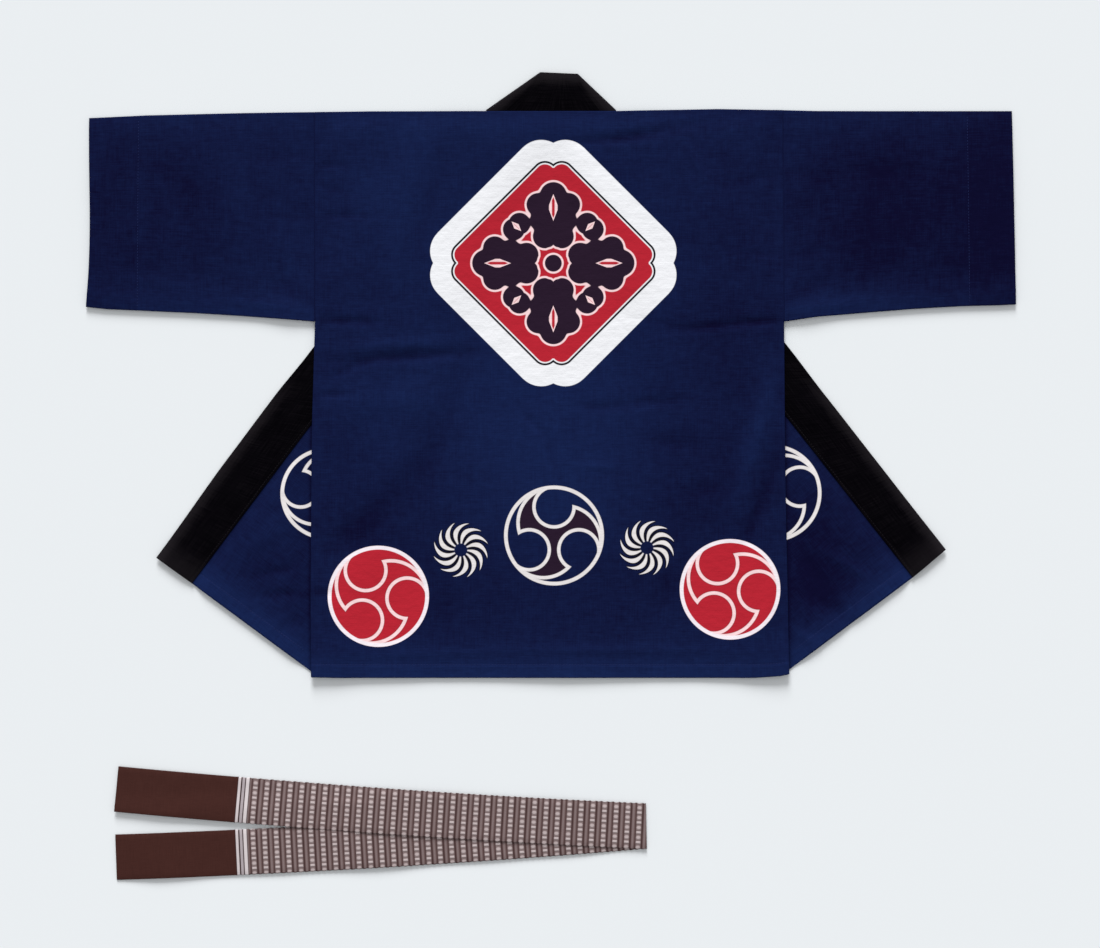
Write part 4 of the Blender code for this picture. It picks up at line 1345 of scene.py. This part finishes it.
thread = {
    "pitch": 0.0042,  # from stitch to stitch
    "stitch": 0.0031,
    "width": 0.0007,
    "height": 0.0003,
    # a stitch's sections: how far along it, and how thick, as shares
    "sections": ((-0.5, 0.45), (0.0, 1.0), (0.5, 0.45)),
    "look": 0.001,  # a line's way is taken this far ahead and behind
    "navy": paint(24, 34, 78),
    "black": paint(16, 14, 18),
    # the armhole seam's cord: radius, how far down it ends, stations, how deep it lies
    "seam": (0.0008, 0.2955, 120, 0.0004),
}


# A line's points and ways at given lengths along it.
def walkLine(line, at):
    total = lengthAlong(line)
    point, ahead, behind = (joined(*(np.interp(at + step, total, column) for column in line.T))
                            for step in (0.0, thread["look"], -thread["look"]))
    way = ahead - behind
    return point, way / np.linalg.norm(way, axis=1)[:, None]


# A mesh of many small parts: points (parts, corners, 3) with the same quads on each.
def manyParts(name, points, quads, finish):
    parts, corners = points.shape[:2]
    faces = quads[None] + corners * np.arange(parts)[:, None, None]
    mesh = bpy.data.meshes.new(name)
    mesh.from_pydata(points.reshape(-1, 3).tolist(), [], faces.reshape(-1, quads.shape[1]).tolist())
    mesh.polygons.foreach_set("use_smooth", np.ones(len(mesh.polygons), bool))
    mesh.update()
    mesh.materials.append(finish)
    piece = shown(name, mesh)
    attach(piece, "root")


# Stitches along lines: grains of three four-cornered sections, thick in the middle, a pitch
# apart and pressed a little into the cloth.
def makeStitches(name, colour):
    corners = np.array([(-1, -1), (1, -1), (1, 1), (-1, 1)]) / 2
    grains = []
    for line in (line for line, lineColour in stitched if lineColour == colour):
        middle, way = walkLine(line, np.arange(thread["pitch"], lengthAlong(line)[-1] - thread["pitch"],
                                               thread["pitch"]))
        aside = np.cross((0.0, 0.0, 1.0), way)
        grains.append(np.concatenate([
            middle[:, None, :] + way[:, None, :] * along * thread["stitch"]
            + aside[:, None, :] * (corners[:, :1] * thick * thread["width"])
            + (0.0, 0.0, 1.0) * (corners[:, 1:] * thick * thread["height"] * 2)
            for along, thick in thread["sections"]], axis=1))
    quads = [(0, 3, 2, 1), (8, 9, 10, 11)]
    quads += [(s + i, s + (i + 1) % 4, s + 4 + (i + 1) % 4, s + 4 + i) for s in (0, 4) for i in range(4)]
    finish = plainFinish(name + "Thread", thread[colour], 0.6, 0.1)
    manyParts(name, np.concatenate(grains), np.array(quads), finish)


makeStitches("HemStitches", "navy")
makeStitches("CollarStitches", "black")


# The seam between sleeve and body: a cord of pressed cloth in the groove, from shoulder to
# underarm, a circle carried along the line.
def makeArmholeSeam(name, half):
    radius, foot, stations, sink = thread["seam"]
    down = np.linspace(0.001, foot, stations)
    out = sideOut(half, down) + coat["gap"] / 2
    up = rowUp(half["side"] * out, down)
    height = 2 * coat["cloth"] + coat["gap"] + layerHeight(half, out, up) - sink
    angle = np.linspace(0, 2 * pi, 7)[:-1]
    ring = radius * joined(np.cos(angle), 0, np.sin(angle))
    points = place(out, up, height, half)[:, None, :] + ring
    index = np.arange(len(down) * 6).reshape(-1, 6)
    around = np.roll(index, -1, axis=1)
    quads = np.stack([index[:-1], around[:-1], around[1:], index[1:]], axis=-1).reshape(-1, 4)
    caps = [index[0][[0, 5, 4, 3]], index[0][[0, 3, 2, 1]], index[-1][[0, 1, 2, 3]], index[-1][[0, 3, 4, 5]]]
    finish = plainFinish(name + "Cotton", cotton["seam"], 0.9, 0.03)
    manyParts(name, points.reshape(1, -1, 3), np.concatenate([quads, caps]), finish)


for name, half in halves.items():
    makeArmholeSeam("ArmholeSeam" + name.capitalize(), half)
print("stitches and seams made")

stage = {
    "size": 6.0,
    "below": -0.0003,  # its height
    "surface": paint(227, 231, 234),
    "sun": 4.4,
    "sunHeight": 22.0,  # degrees above the surface, from the collar's side
    "sunTurn": 4.0,
    "sunSoftness": 24.0,
    "sky": 0.55,
    "cameraHeight": 4.337,
    "cameraX": -0.0014,
    "cameraY": 0.0020,
    "lens": 100.0,
}


# A level surface, a soft sun, an even sky and a camera straight above.
def makeStage():
    half, low = stage["size"] / 2, stage["below"]
    mesh = bpy.data.meshes.new("Surface")
    mesh.from_pydata([(-half, -half, low), (half, -half, low), (half, half, low), (-half, half, low)],
                     [], [(0, 1, 2, 3)])
    mesh.materials.append(plainFinish("PaleCard", stage["surface"], 0.9, 0.0))
    surface = shown("Surface", mesh)
    light = bpy.data.lights.new("Sun", "SUN")
    light.energy = stage["sun"]
    light.angle = radians(stage["sunSoftness"])
    lamp = shown("Sun", light)
    lamp.rotation_euler = (radians(stage["sunHeight"] - 90.0), 0.0, radians(stage["sunTurn"]))
    lens = bpy.data.cameras.new("Camera")
    lens.lens = stage["lens"]
    lens.sensor_width = 36.0
    camera = shown("Camera", lens)
    camera.location = (stage["cameraX"], stage["cameraY"], stage["cameraHeight"])
    bpy.context.scene.camera = camera
    world = bpy.data.worlds.new("Studio")
    world.use_nodes = True
    sky = world.node_tree.nodes["Background"]
    sky.inputs["Color"].default_value = (1.0, 1.0, 1.0, 1.0)
    sky.inputs["Strength"].default_value = stage["sky"]
    bpy.context.scene.world = world
    bpy.context.scene.view_settings.view_transform = "Standard"


makeStage()
print("surface, light and camera set")
